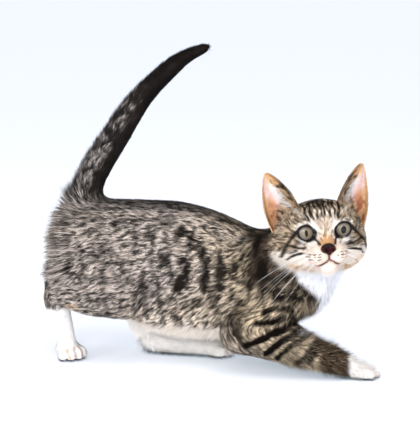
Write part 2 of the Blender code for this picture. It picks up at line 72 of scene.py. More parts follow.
# Places on the head are along its own axes: forward, left and up from its centre.
HEAD_CENTRE = np.array([90.5, -16.0, 110.0])
HEAD_YAW, HEAD_PITCH, HEAD_ROLL = -70.6, 5.0, 5.1

EYE_RADIUS = 9.6
EYE_PLACE = (12.5, 14.3, 3.2)
EYE_TURN_OUT = 9.0
LID_THICKNESS = 1.7
OPENING_HALF_WIDTH, OPENING_HALF_HEIGHT = 6.8, 5.5
OPENING_SLANT = 26.0
OPENING_PLACE = (13.8, 2.0)
NOSE_PLACE = np.array([33.2, 0.0, -9.6])

EAR_BASE = (-4.0, 25.5, 14.0)
EAR_TIP = (-4.0, 35.8, 47.0)
EAR_HALF_WIDTH = 14.2
EAR_DEPTH = 10.5
EAR_THICK = 1.3
# An ear's sheet goes from below its base, in shares of its height, nearly to its tip.
EAR_LOW, EAR_HIGH = -0.42, 0.985
EAR_ROWS, EAR_COLUMNS = 44, 44
SIDES = {-1: "right", 1: "left"}

SKIN_VOXEL = 1.5
# How far the skin and the hairs stay above the floor.
SKIN_CLEARANCE, HAIR_CLEARANCE = 0.3, 0.15
# The skin's colour as a share of the fur's, darkened as painted shade, and how far the fur of one form
# blends into the next.
SKIN_PAINTED_SHADE = 0.8
FUR_BLEND = 2.5
TUBE_STEP = 5.0


def smooth(values, t):
    """A Catmull-Rom curve through the rows of values, at the places t counted in rows."""
    rows = np.asarray(values, float)
    padded = np.vstack([2 * rows[0] - rows[1], rows, 2 * rows[-1] - rows[-2]])
    i = np.clip(t.astype(int), 0, len(rows) - 2)
    s = (t - i)[:, None]
    a, b, c, d = (padded[i + k] for k in range(4))
    return 0.5 * (2 * b + (c - a) * s + (2 * a - 5 * b + 4 * c - d) * s**2 + (3 * b - a - 3 * c + d) * s**3)


def unit(vectors):
    return vectors / np.maximum(np.linalg.norm(vectors, axis=-1, keepdims=True), 1e-9)


def turned(degrees):
    """Axes turned about Z."""
    return np.array(Matrix.Rotation(math.radians(degrees), 3, "Z"))


def mirrored(place, side):
    """A place on the left side, or its twin on the right where side is -1."""
    return np.array([place[0], place[1] * side, place[2]])


class Ball:
    """An ellipsoid, turned about Z. Its fur lies along lie, or away from the point from_point."""

    def __init__(self, centre, radii, turn=0.0, lie=(-1, 0, -0.5), from_point=None):
        self.centre = np.array(centre, float)
        self.radii = np.array(radii, float) * np.ones(3)
        self.axes = turned(turn)
        self.along = np.array(lie, float)
        self.from_point = from_point

    def distance(self, points):
        local = (points - self.centre) @ self.axes
        near = np.linalg.norm(local / self.radii, axis=1)
        steep = np.linalg.norm(local / self.radii**2, axis=1)
        return near * (near - 1) / np.maximum(steep, 1e-6)

    def lie(self, points):
        if self.from_point is None:
            return np.broadcast_to(unit(self.along), points.shape)
        return unit(points - self.from_point)

    def balls(self):
        yield self.centre, self.axes, self.radii


class Tube:
    """A round tube through a smooth curve. Its fur lies from the first point to the last, or back."""

    def __init__(self, points, radii, back=False, sag=0.0, lie=None):
        rows = np.column_stack([np.asarray(points, float), np.asarray(radii, float)])
        length = np.linalg.norm(np.diff(rows[:, :3], axis=0), axis=1).sum()
        rows = smooth(rows, np.linspace(0, len(rows) - 1, max(4, int(length / TUBE_STEP))))
        self.points, self.radii = rows[:, :3], rows[:, 3]
        self.sign = -1.0 if back else 1.0
        self.sag = sag
        self.fixed = lie

    def nearest(self, points):
        """Distance, and the segment that is nearest."""
        best = np.full(len(points), FAR)
        which = np.zeros(len(points), int)
        for i, (a, b, ra, rb) in enumerate(zip(self.points, self.points[1:], self.radii, self.radii[1:])):
            along = b - a
            t = np.clip((points - a) @ along / (along @ along), 0, 1)
            off = np.linalg.norm(points - a - t[:, None] * along, axis=1) - ra - t * (rb - ra)
            closer = off < best
            best[closer] = off[closer]
            which[closer] = i
        return best, which

    def place_along(self, points):
        """The nearest segment, its direction, how far along it starts, and the point's offset from there."""
        which = self.nearest(points)[1]
        steps = np.diff(self.points, axis=0)
        start = np.concatenate([[0], np.cumsum(np.linalg.norm(steps, axis=1))])[which]
        return which, unit(steps)[which], start, points - self.points[which]

    def distance(self, points):
        reach = self.radii.max() + MOST_MELT
        low, high = self.points.min(axis=0) - reach, self.points.max(axis=0) + reach
        close = np.flatnonzero(((points > low) & (points < high)).all(axis=1))
        found = np.full(len(points), FAR)
        if len(close):
            found[close] = self.nearest(points[close])[0]
        return found

    def lie(self, points):
        if self.fixed is not None:
            return np.broadcast_to(unit(np.array(self.fixed, float)), points.shape)
        found = self.sign * self.place_along(points)[1]
        found[:, 2] -= self.sag
        return unit(found)

    def balls(self):
        for centre, radius in zip(self.points, self.radii):
            yield centre, np.eye(3), np.full(3, radius)


class Trunk:
    """The body between the legs, from the rump to the chest. Its fur lies back and down the side."""

    rows = np.array(TRUNK, float)

    def section(self, x):
        """Middle height, half height and half width at the places x."""
        t = np.interp(x, self.rows[:, 0], np.arange(len(self.rows)))
        _, top, bottom, wide = smooth(self.rows, t).T
        return (top + bottom) / 2, (top - bottom) / 2, wide

    def distance(self, points):
        x = np.clip(points[:, 0], self.rows[0, 0], self.rows[-1, 0])
        middle, half, wide = self.section(x)
        up = points[:, 2] - middle
        across = wide * (1 - BELLY_FULLNESS * np.clip(up / half, -1, 1))
        side = points[:, 1] * half / across
        return np.sqrt((points[:, 0] - x) ** 2 + up**2 + side**2) - half

    def lie(self, points):
        middle, half, _ = self.section(points[:, 0])
        low = np.clip((middle - points[:, 2]) / half, -1, 1)
        found = np.zeros(points.shape)
        found[:, 0] = -1
        found[:, 2] = np.interp(low, [-1, 0, 0.6, 1], [0.0, -0.35, -0.9, -1.3])
        return unit(found)

    def balls(self):
        for x in np.arange(self.rows[0, 0], self.rows[-1, 0] + 1, 6.0):
            middle, half, wide = (float(v[0]) for v in self.section(np.array([x])))
            yield np.array([x, 0, middle]), np.eye(3), np.array([half, wide, half])


class Placed:
    """A form given in the head's own axes."""

    def __init__(self, form):
        self.form = form

    def distance(self, points):
        return self.form.distance(to_head(points))

    def lie(self, points):
        return self.form.lie(to_head(points)) @ HEAD_AXES.T

    def balls(self):
        for centre, axes, radii in self.form.balls():
            yield HEAD_CENTRE + HEAD_AXES @ centre, HEAD_AXES @ axes, radii


def head_axes(yaw, pitch, roll):
    """Columns are the head's forward, left and up."""
    yaw, pitch, roll = (math.radians(angle) for angle in (yaw, pitch, roll))
    level = math.cos(pitch)
    forward = np.array([level * math.cos(yaw), level * math.sin(yaw), math.sin(pitch)])
    left = np.array([-math.sin(yaw), math.cos(yaw), 0.0])
    up = np.cross(forward, left)
    tilted = left * math.cos(roll) + up * math.sin(roll)
    return np.column_stack([forward, tilted, np.cross(forward, tilted)])


HEAD_AXES = head_axes(HEAD_YAW, HEAD_PITCH, HEAD_ROLL)


def to_head(points):
    return (points - HEAD_CENTRE) @ HEAD_AXES


def from_head(points):
    return HEAD_CENTRE + np.asarray(points, float) @ HEAD_AXES.T


def front_view(local):
    """Places on the head as its front shows them: how far from the middle, and how high."""
    return np.column_stack([np.abs(local[:, 1]), local[:, 2]])


# Depth and length of the fur on each kind of form.
TRUNK_FUR = (2.6, 6.4)
NECK_FUR = (2.8, 6.8)
THIGH_FUR = (2.3, 6.2)
LEG_FUR = (1.2, 3.3)
PAW_FUR = (0.7, 3.0)
HEAD_FUR = (1.3, 4.2)
FACE_FUR = (0.55, 2.4)
TAIL_FUR = (1.6, 6.0)


# Each foot's middle, its heading in degrees from +X, its size and its height.
PAWS = {
    "hind_right": ((-112.5, -15.5, 7.4), -45, 1.08, 1.08),
    "hind_left": ((-3, 22, 7.2), 2, 1.0, 1.0),
    "fore_right": ((121.5, -22.5, 5.8), 14, 0.98, 0.84),
    "fore_left": ((83, 20, 5.8), -8, 0.98, 0.84),
}


# Each toe: how far across and forward it lies from the foot's middle, and its half width.
TOES = ((-7.4, 5.2, 3.9), (-2.7, 8.2, 4.1), (2.7, 8.2, 4.1), (7.4, 5.2, 3.9))
BETWEEN_TOES = (-5.2, 0.0, 5.2)


def foot_axes(heading):
    """The level directions ahead of a foot and to its left."""
    ahead = np.array([math.cos(math.radians(heading)), math.sin(math.radians(heading)), 0])
    return ahead, np.array([-ahead[1], ahead[0], 0])


def paw(centre, heading, size, height):
    """The pad of a foot with four toes in a fan."""
    ahead, side = foot_axes(heading)
    middle = np.array(centre, float)
    lie = ahead - np.array([0, 0, 0.35])
    forms = [(Ball(middle, (10 * size, 9.6 * size, 7.6 * height), heading, lie), 3.0, PAW_FUR)]
    for across, forward, wide in TOES:
        place = middle + size * (ahead * forward + side * across)
        place[2] = 4.9 * height
        toe = Ball(place, (6.4 * size, wide * size, 5.6 * height), heading + across * 2, lie)
        forms.append((toe, 1.6, PAW_FUR))
    return forms


def toe_creases():
    """The lines between the toes, down their fronts."""
    for centre, heading, size, height in PAWS.values():
        ahead, side = foot_axes(heading)
        for across in BETWEEN_TOES:
            foot = np.array(centre) + size * side * across
            start, end = foot + ahead * size * 9.0, foot + ahead * size * 14.0
            start[2], end[2] = 9.6 * height, 2.5
            yield start, end


TOE_CREASES = list(toe_creases())

HIP_LIE = (-1, 0, -0.4)
LEGS = {
    "hind_right": [
        (Tube(((-92, -14, 98), (-86, -22, 80), (-70, -30, 62), (-60, -34, 54)), (25, 27, 20, 15),
              lie=HIP_LIE), 6, THIGH_FUR),
        (Tube(((-100, -13, 94), (-109, -24, 70)), (22, 13), lie=HIP_LIE), 8, THIGH_FUR),
        (Tube(((-60, -34, 54), (-84, -32, 53), (-104, -31, 56), (-117, -30, 62)),
              (14.5, 14.5, 12.5, 7.4), sag=0.3), 6, THIGH_FUR),
        (Tube(((-118, -29, 62), (-117.5, -27, 51), (-116, -23.5, 37), (-113.8, -19.5, 24), (-113, -17, 11)),
              (7.4, 11, 9, 7.7, 8)), 5, LEG_FUR),
        *paw(*PAWS["hind_right"]),
    ],
    "hind_left": [
        (Tube(((-92, 14, 98), (-80, 24, 76), (-45, 30, 52), (-22, 32, 41)), (25, 26, 20, 14),
              lie=HIP_LIE), 6, THIGH_FUR),
        (Tube(((-100, 13, 94), (-102, 20, 74)), (22, 14), lie=HIP_LIE), 8, THIGH_FUR),
        (Ball((-60, 23, 38), (19, 15, 22), 0, (-0.6, 0, -1)), 8, THIGH_FUR),
        (Tube(((-22, 32, 41), (-40, 27, 27), (-53, 23, 14)), (14, 12.5, 10.5)), 5, LEG_FUR),
        (Tube(((-53, 22, 11.5), (-38, 20.5, 10.4), (-20, 21, 9.2), (-6, 22, 8.4)),
              (11, 10.4, 9.3, 8.8)), 3, LEG_FUR),
        *paw(*PAWS["hind_left"]),
    ],
    "fore_right": [
        (Ball((50, -18, 74), (30, 16, 34), 0, (-0.7, 0, -1)), 8, THIGH_FUR),
        (Tube(((72, -22, 60), (52, -31, 44), (33, -36, 33)), (15, 16, 15)), 8, THIGH_FUR),
        (Tube(((33, -36, 33), (57, -35, 28.5), (78, -32, 22), (93, -30, 17.5), (106, -28, 13.3),
               (117, -25, 7.8)), (15.5, 16, 14.2, 12, 10.3, 6.8)), 6, LEG_FUR),
        *paw(*PAWS["fore_right"]),
    ],
    "fore_left": [
        (Ball((50, 18, 74), (30, 16, 34), 0, (-0.7, 0, -1)), 8, THIGH_FUR),
        (Tube(((70, 22, 60), (52, 31, 42), (38, 32, 29)), (15, 16, 13)), 8, THIGH_FUR),
        (Tube(((38, 32, 28), (60, 28, 18), (76, 22.5, 10)), (13, 11.5, 8)), 6, LEG_FUR),
        *paw(*PAWS["fore_left"]),
    ],
}


def face_ball(centre, radii, melt_width, fur=HEAD_FUR):
    return Ball(centre, radii, from_point=NOSE_PLACE), melt_width, fur


HEAD_FORMS = [
    face_ball((-6, 0, 0), (30, 34, 25), 10),
    face_ball((1, -19.5, -9), (19, 19, 17.5), 7),
    face_ball((4, 16.5, -11), (18, 17.5, 17.5), 7),
    face_ball((6, 0, 8.5), (17, 20, 15.2), 8),
    face_ball((8, 0, -17), (20, 19, 12), 6),
    (Tube(((6, 0, 5), (19, 0, -1.2), (32, 0, -9.2)), (14, 7, 4.6), back=True), 5, FACE_FUR),
    face_ball((20, 0, -12), (12, 13.5, 10), 4, FACE_FUR),
    face_ball((26.2, -6.6, -15.6), (9.8, 8.2, 7), 2.4, FACE_FUR),
    face_ball((26.2, 6.6, -15.6), (9.8, 8.2, 7), 2.4, FACE_FUR),
    face_ball((23, 0, -23.6), (8.6, 7.6, 5.8), 2.0, FACE_FUR),
    face_ball(mirrored(EYE_PLACE, -1), EYE_RADIUS + LID_THICKNESS, 2.6, FACE_FUR),
    face_ball(EYE_PLACE, EYE_RADIUS + LID_THICKNESS, 2.6, FACE_FUR),
]
HEAD_FORMS = [(Placed(form), width, fur) for form, width, fur in HEAD_FORMS]

NECK = [
    (Tube(((36, 0, 78), (60, -1, 86), (84, -3, 98)), (25, 24.5, 22), back=True, sag=0.35), 12, NECK_FUR),
    (Tube(((73, -2, 68), (89, -8, 87)), (19, 19), back=True, sag=0.8), 12, NECK_FUR),
]
TAIL_FORM = Tube(((-101, 0, 118), (-97.5, 0, 142), (-74, 0, 180.6), (-55, 0, 208), (-32.6, 0, 230),
                  (-19, 0, 240.5), (-5, 0, 247)), (15, 12, 10.8, 8.9, 6.8, 4.9, 3.2))
TRUNK_FORM = Trunk()

# Each part with the width over which it melts into those before it.
PARTS = {
    "trunk": ([(TRUNK_FORM, 0, TRUNK_FUR)], 0),
    "neck": (NECK, 12),
    "tail": ([(TAIL_FORM, 9, TAIL_FUR)], 9),
    **{name: (forms, 6) for name, forms in LEGS.items()},
    "head": (HEAD_FORMS, 8),
}


def melt(a, b, width):
    """The smaller of two distances, rounded where they are within width of each other."""
    h = np.maximum(width - np.abs(a - b), 0) / width
    return np.minimum(a, b) - h * h * width / 4


def joined(forms, points):
    """How far each point lies outside the forms, melted together in their order."""
    found = np.full(len(points), FAR)
    for form, width, _ in forms:
        found = melt(found, form.distance(points), max(width, 0.01))
    return found


def part_distance(name, points):
    return joined(PARTS[name][0], points)


def outline(points):
    """How far each point lies outside the cat's coat, in millimetres."""
    found = TRUNK_FORM.distance(points)
    for name, (forms, width) in PARTS.items():
        if name != "trunk":
            found = melt(found, joined(forms, points), width)
    return found


class Lie:
    """At each point: the depth, length and direction of the fur, and the part that it grows on."""

    def __init__(self, points):
        forms = [(form, fur, i) for i, (group, _) in enumerate(PARTS.values()) for form, _, fur in group]
        away = np.array([form.distance(points) for form, _, _ in forms])
        share = np.exp(-np.clip(away - away.min(axis=0), 0, 60) / FUR_BLEND)
        share /= share.sum(axis=0)
        self.depth = share.T @ np.array([fur[0] for _, fur, _ in forms])
        self.length = share.T @ np.array([fur[1] for _, fur, _ in forms])
        self.part = np.array([i for _, _, i in forms])[away.argmin(axis=0)]
        self.along = np.zeros(points.shape)
        for (form, _, _), weight in zip(forms, share):
            used = np.flatnonzero(weight > 0.01)
            if len(used):
                self.along[used] += weight[used, None] * form.lie(points[used])


def settle(points, level, rounds):
    """Moves the points along the slope to where the outline's distance is the level."""
    step = 0.05
    for _ in range(rounds):
        value = outline(points)
        slope = np.stack([outline(points + way) - value for way in step * np.eye(3)], axis=1) / step
        steep = np.maximum((slope**2).sum(axis=1), 0.2)
        points = points - slope * np.clip((value - level) / steep, -3, 3)[:, None]
    return points


def lattice(cells, seed):
    """A number from 0 to 1 for each whole-numbered cell."""
    mixed = cells[:, 0] * 73856093 ^ cells[:, 1] * 19349663 ^ cells[:, 2] * 83492791 ^ seed * 2654435761
    mixed = (mixed ^ (mixed >> 13)) * 1274126177 & 0x7FFFFFFF
    return (mixed ^ (mixed >> 16)) % 65536 / 65535.0


def noise(points, scale, seed):
    """Smooth noise from 0 to 1. Its blobs are about scale across, one number or one for each axis."""
    p = points / scale
    cell = np.floor(p).astype(np.int64)
    t = p - cell
    t = t * t * (3 - 2 * t)
    found = np.zeros(len(points))
    for corner in np.ndindex(2, 2, 2):
        weight = np.prod(np.where(corner, t, 1 - t), axis=1)
        found += weight * lattice(cell + corner, seed)
    return found


def ramp(value, low, high):
    """0 below low, 1 above high, smooth between them; low may be the larger."""
    t = np.clip((value - low) / (high - low), 0, 1)
    return t * t * (3 - 2 * t)


def bars(phase, edge, full):
    """1 within full of each whole number of the phase, and 0 beyond edge."""
    return ramp(np.abs(phase - np.round(phase)), edge, full)


def stroke(points, path, half, soft):
    """1 within half of the path, 0 beyond half + soft. The path's points have as many axes as points."""
    best = np.full(len(points), FAR)
    path = np.asarray(path, float)
    for a, b in zip(path, path[1:]):
        along = b - a
        t = np.clip((points - a) @ along / (along @ along), 0, 1)
        best = np.minimum(best, np.linalg.norm(points - a - t[:, None] * along, axis=1))
    return ramp(best, half + soft, half)


def blob(points, centre, radii, soft=0.35):
    """1 inside an ellipse or ellipsoid, 0 outside, with a soft edge that is a share of its radii."""
    away = np.linalg.norm((points - np.array(centre, float)) / np.array(radii, float), axis=1)
    return ramp(away, 1 + soft, 1 - soft)


def colour(red, green, blue):
    """Linear colour from 0 to 255 screen values."""
    value = np.array([red, green, blue]) / 255
    return np.where(value < 0.04045, value / 12.92, ((value + 0.055) / 1.055) ** 2.4)


GREY_TABBY = colour(134, 125, 118)
BUFF_TABBY = colour(137, 124, 105)
LEG_BUFF = colour(166, 150, 127)
HEAD_TABBY = colour(156, 138, 117)
TAIL_GREY = colour(128, 122, 118)
STRIPE = colour(9, 5, 3)
COLD_STRIPE = colour(26, 22, 20)
WHITE = colour(250, 247, 244)
COOL_WHITE = colour(246, 247, 252)
CREAM = colour(238, 228, 216)
MUZZLE = colour(242, 224, 211)
BUFF = colour(214, 170, 112)
PALE_BUFF = colour(224, 204, 184)
FOREHEAD = colour(202, 186, 170)
BRIDGE = colour(200, 148, 98)
PINK = colour(236, 190, 176)
PAD = colour(24, 18, 17)
EAR_BUFF = colour(214, 175, 130)
EAR_SKIN = colour(218, 192, 190)
EAR_RUST = colour(196, 146, 110)
EAR_DEEP = colour(150, 84, 60)
SPOT_BROWN = colour(150, 116, 66)
NECK_BROWN_AND_SHADE = colour(54, 44, 35)
CUFF_BROWN = colour(92, 68, 47)
TOE_PINK = colour(232, 150, 112)
NOSE_DARK = colour(12, 1, 2)
NOSE_LIGHT = colour(66, 12, 16)


def paint(shade, new, mask):
    """The shade mixed with the new one, as far as the mask says at each point."""
    return shade + (new - shade) * np.clip(mask, 0, 1)[:, None]


def layered(shade, *layers):
    """Paints each layer, a colour and its mask, over those before it."""
    for new, mask in layers:
        shade = paint(shade, new, mask)
    return shade


# Dark marks seen from the side, each a path along X and Z, its half width and its strength.
FLANK_STROKES = (
    (((-19.8, 106.6), (-12.7, 108.3), (-4.3, 100.4), (5.5, 84.3), (2.7, 66.2)), 2.5, 0.97),
    (((-11.5, 86.6), (-8.0, 81.3), (-15.1, 64.3)), 3.0, 0.97),
    (((-43.0, 106.8), (-38.7, 101.4)), 3.0, 0.88),
    (((-30.8, 91.1), (-28.0, 84.3)), 2.8, 0.9),
    (((-43.4, 75.5), (-46.3, 62.8)), 2.2, 0.8),
    (((15.0, 91.4), (16.4, 73.5), (13.6, 58.2)), 2.7, 0.95),
    (((27.1, 83.3), (26.4, 76.4)), 3.0, 0.95),
    (((13.6, 48.5), (2.4, 41.0), (-6.1, 37.7)), 2.0, 0.8),
    (((0.4, 58.1), (-12.3, 47.8), (-18.0, 40.5)), 2.0, 0.75),
    (((34.8, 56.8), (32.5, 45.9), (34.1, 35.2), (40.3, 24.7)), 3.6, 0.97),
    (((40.2, 52.5), (38.7, 38.5)), 1.6, 0.85),
    (((50.1, 67.6), (55.5, 65.5)), 3.2, 1.0),
    (((57.0, 64.1), (63.2, 60.5), (69.4, 55.4), (74.8, 47.2)), 1.9, 1.0),
    (((64.6, 66.7), (71.6, 61.7), (77.0, 55.0), (81.7, 48.3)), 1.8, 1.0),
    (((72.3, 67.9), (78.5, 62.0), (82.4, 52.9)), 1.4, 1.0),
    (((76.1, 72.0), (83.1, 64.5), (88.2, 57.7)), 1.2, 0.95),
    (((55.1, 112.7), (56.0, 103.5), (57.9, 94.4)), 3.2, 0.97),
    (((45.4, 87.3), (40.8, 77.9), (39.3, 67.1)), 3.0, 0.9),
    (((44.5, 100.3), (49.9, 94.4)), 2.4, 0.95),
    (((29.6, 102.1), (35.8, 107.0), (43.5, 111.9)), 1.6, 0.85),
    (((-71.0, 112.0), (-63.0, 116.3), (-42.9, 115.7), (-20.2, 115.2)), 1.7, 0.8),
)
LEG_STROKES = (
    (((52.3, 51.5), (59.9, 54.8), (67.6, 55.0), (73.0, 53.0)), 2.1, 1.0),
    (((47.4, 43.4), (55.8, 43.4), (61.9, 45.5), (68.8, 47.4), (75.7, 45.6)), 2.1, 1.0),
    (((41.2, 27.2), (55.1, 33.8), (68.1, 39.4), (77.2, 43.7)), 2.5, 1.0),
    (((54.9, 21.1), (68.7, 31.3), (82.1, 40.3)), 2.4, 1.0),
    (((63.7, 17.5), (74.7, 26.8), (86.0, 36.4)), 2.2, 1.0),
    (((78.8, 14.0), (87.6, 21.7), (92.1, 30.1)), 2.1, 1.0),
    (((87.6, 14.3), (93.9, 24.7), (96.6, 30.2)), 1.6, 1.0),
)
# The middle line of the far foreleg, and the distance from bar to bar on it.
FAR_LEG_PATH = ((40, 36, 60), (40, 34, 34), (60, 28, 18), (83, 21, 8))
FAR_LEG_PERIOD = 9.5
FLANK_PERIOD = 13.5
WHISKER_ROW_HEIGHT = 2.1
# Each foreleg's place along X where its white begins.
CUFF_EDGES = {"fore_right": 116.0, "fore_left": 76.0}
# How far forward the bib's edge lies at each height.
BIB_HEIGHTS = (39.7, 46.2, 57.9, 67.0, 73.8, 84.0, 96.0)
BIB_EDGES = (80.2, 86.4, 91.0, 84.5, 77.0, 70.0, 74.0)
MOUTH_LINE = ((0, -13.0), (0, -18.4), (4.0, -20.6), (7.6, -22.8))
# Dark bars up the forehead: how far from the middle, half width, lowest and highest place.
FOREHEAD_BARS = (
    (1.0, 0.35, 12.5, 30.0),
    (4.4, 0.5, 11.0, 17.0),
    (4.9, 0.4, 17.5, 30.0),
    (8.2, 0.5, 9.5, 30.0),
    (11.4, 1.0, 9.0, 14.5),
    (12.6, 0.7, 15.5, 30.0),
)
# Dark lines on each cheek, seen from the front, and their half widths.
CHEEK_LINES = (
    (((21.2, 3.6), (24.8, -0.6)), 1.1),
    (((24.8, -0.6), (30.0, -6.8), (33.0, -14.0)), 0.7),
    (((16.5, -12.6), (23.0, -13.2), (27.0, -14.6), (29.0, -16.8)), 0.5),
    (((15.5, -9.4), (21.0, -8.4), (28.0, -5.6)), 0.25),
)


def strokes(points, shade, marks, ragged, uneven):
    """Paints the marks, ragged edges and all, alike on both sides of the body."""
    flat = points[:, [0, 2]] + ragged
    return layered(shade, *((STRIPE, strength * uneven * stroke(flat, path, half, 0.9))
                            for path, half, strength in marks))


def ragged_shift(points, seeds, most):
    """Uneven shifts along X and Z, up to most each way."""
    return np.column_stack([noise(points, 4.0, seed) for seed in seeds]) * 2 * most - most


def flank_marks(points, shade):
    """Broken bars, the drawn strokes, pale streaks above the belly, and a dark back with pale edges."""
    x, y, z = points.T
    wobble = 9.0 * (noise(points, 22, 3) - 0.5) + 5.0 * (noise(points, 8, 4) - 0.5)
    middle, half, _ = TRUNK_FORM.section(x)
    high = (z - middle) / half
    strength = np.interp(x, [-110, -60, -20, 20, 60], [0.6, 0.8, 0.75, 0.75, 0.9])
    breaks = ramp(noise(points, (6.0, 12.0, 9.0), 5), 0.35, 0.6)
    upright = bars((x + wobble + 0.12 * (z - 80) + 7.0) / FLANK_PERIOD, 0.26, 0.1)
    side = ramp(high, 0.85, 0.6) * ramp(high, -1.0, -0.85)
    shade = paint(shade, STRIPE, upright * breaks * strength * side)
    uneven = ramp(noise(points, 3.0, 17), 0.05, 0.3)
    shade = strokes(points, shade, FLANK_STROKES, ragged_shift(points, (15, 16), 3.2), uneven)
    low_fringe = ramp(z, 56, 40) * ramp(x, -75, -55) * ramp(x, 20, 0)
    streaky = ramp(noise(points, (2.5, 6.0, 9.0), 26), 0.35, 0.6)
    spine = ramp(np.abs(y + wobble * 0.5), 14, 7) * ramp(high, 0.3, 0.7)
    spine_strength = np.interp(x, [-110, -60, 0, 60], [0.4, 0.5, 0.8, 0.85])
    mottle = 0.55 + 0.45 * ramp(noise(points, 3.0, 23), 0.3, 0.6)
    pale = ramp(np.abs(np.abs(y) - 19), 5.0, 1.5) * ramp(high, 0.4, 0.7)
    return layered(
        shade,
        (PALE_BUFF, 0.7 * low_fringe * streaky),
        (STRIPE, spine * spine_strength * mottle),
        (GREY_TABBY * 1.2, 0.4 * pale),
    )


def far_leg_marks(points):
    """Dark bars across the buff of the far foreleg."""
    _, ahead, start, off = Tube(FAR_LEG_PATH, [1.0] * len(FAR_LEG_PATH)).place_along(points)
    place = start + (off * ahead).sum(axis=1) - off[:, 2]
    place += 3.2 * (noise(points, 11, 22) - 0.5)
    return paint(LEG_BUFF, STRIPE, 0.95 * bars(place / FAR_LEG_PERIOD, 0.36, 0.18))


def forehead_bars(points, across, high):
    """The dark bars up the forehead, swaying and broken."""
    swayed = across + 2.4 * (noise(points, 5.0, 24) - 0.5)
    found = np.zeros(len(points))
    for middle, wide, low, top in FOREHEAD_BARS:
        bar = ramp(np.abs(swayed - middle - 0.08 * (high - 12)), wide + 0.8, wide)
        found = np.maximum(found, bar * ramp(high, low, low + 2.0) * ramp(high, top + 3.0, top))
    return found * ramp(noise(points, (2.0, 2.0, 3.0), 27), 0.1, 0.35)


def head_marks(points, shade):
    """The face in the head's own axes. Its two sides are alike but for the noise."""
    local = to_head(points)
    local = local + 1.2 * (noise(points, 5, 8) - 0.5)[:, None]
    face = front_view(local)
    x, y, z = local[:, 0], face[:, 0], face[:, 1]
    lids = almond_distance(face)
    front = ramp(x, -2, 8)
    pale = ramp(y, 14, 9) * ramp(z, 2, 6) * ramp(z, 22, 15) * front
    brow_bars = forehead_bars(points, y, z)
    crown = ramp(z, 17.5, 23) * ramp(y, 25, 15)
    nape = ramp(x, -8, -20)
    patchy = ramp(noise(points, 2.6, 11), 0.2, 0.6)
    bright = np.maximum.reduce([
        blob(face, (8.4, 1.5), (2.4, 9.5)) * front,
        0.7 * patchy * ramp(lids, 3.8, 2.2) * front * ramp(y, 24, 18),
        0.75 * patchy * blob(face, (13.0, -6.2), (6.5, 2.4), 0.6) * front,
    ])
    shade = layered(
        shade,
        (HEAD_TABBY, np.full(len(points), 0.8)),
        (FOREHEAD, 0.85 * pale),
        (PALE_BUFF * 0.82, 0.75 * blob(face, (0, 3.0), (7.0, 7.5), 0.5) * front),
        (STRIPE, 0.96 * brow_bars * ramp(y, 19, 14) * front),
        (STRIPE * 1.6, 0.93 * crown * ramp(noise(points, 2.6, 9), 0.28, 0.44)),
        (STRIPE, 0.55 * nape * ramp(noise(points, 7.0, 10), 0.35, 0.6)),
        (WHITE, 0.76 * bright),
    )
    low_cheek = ramp(z, -8, -14) * ramp(x, -14, 2)
    jaw = stroke(face, ((13.0, -27.5), (20.0, -25.5), (27.0, -21.5)), 2.0, 2.5)
    grey = blob(face, (22, -8.5), (7.5, 3.6), 0.5) * ramp(noise(points, (5.0, 5.0, 1.8), 13), 0.4, 0.6)
    cheek_lines = np.maximum.reduce([stroke(face, path, half, 0.9) for path, half in CHEEK_LINES])
    muzzle = np.maximum(blob(face, (6.5, -15.5), (9.5, 8.0)), blob(face, (0, -23.5), (9.0, 7.0)))
    bridge = blob(face, (0, -5.8), (6.2, 5.2), 0.8) * ramp(x, 12, 17)
    dots = bars((z + 13.2) / WHISKER_ROW_HEIGHT, 0.32, 0.16)
    dots = dots * ramp(noise(points, (1.5, 2.2, 1.5), 14), 0.4, 0.5) * blob(face, (11.0, -15.3), (5.5, 3.8))
    lips = stroke(face, MOUTH_LINE, 0.5, 1.6) * ramp(x, 18, 22)
    mouth = stroke(face, MOUTH_LINE, 0.35, 0.55) * ramp(x, 20, 24)
    corner = stroke(face, ((7.8, -2.2), (5.8, -6.4)), 0.7, 0.6) * front
    nose_edge = np.linalg.norm((local - NOSE_PLACE) / np.array([7.0, 6.4, 4.2]), axis=1)
    return layered(
        shade,
        (CREAM * 0.9, 0.85 * low_cheek),
        (BUFF, 0.75 * jaw * ramp(noise(points, 3.0, 12), 0.3, 0.6)),
        (COLD_STRIPE * 3.0, 0.6 * grey),
        (STRIPE, 0.96 * cheek_lines * ramp(x, -14, -6)),
        (MUZZLE, muzzle * ramp(x, 8, 14)),
        (BRIDGE, 0.85 * bridge),
        (SPOT_BROWN * 0.2, 0.93 * dots),
        (PINK, 0.7 * lips),
        (PAD * 1.8, 0.9 * mouth),
        (PAD, ramp(lids, 1.2, 0.45) * ramp(x, 8, 12)),
        (PAD, 0.9 * corner),
        (PAD * 2.2, ramp(nose_edge, 1.02, 0.85)),
    )


def almond_distance(face):
    """Roughly how far points of the face, (distance from its middle, height), are from the lids' opening."""
    slant = math.radians(OPENING_SLANT)
    off = face - np.array(OPENING_PLACE)
    along = off[:, 0] * math.cos(slant) + off[:, 1] * math.sin(slant)
    across = -off[:, 0] * math.sin(slant) + off[:, 1] * math.cos(slant)
    near = np.sqrt((along / OPENING_HALF_WIDTH) ** 2 + (across / OPENING_HALF_HEIGHT) ** 2)
    return (near - 1) * OPENING_HALF_HEIGHT


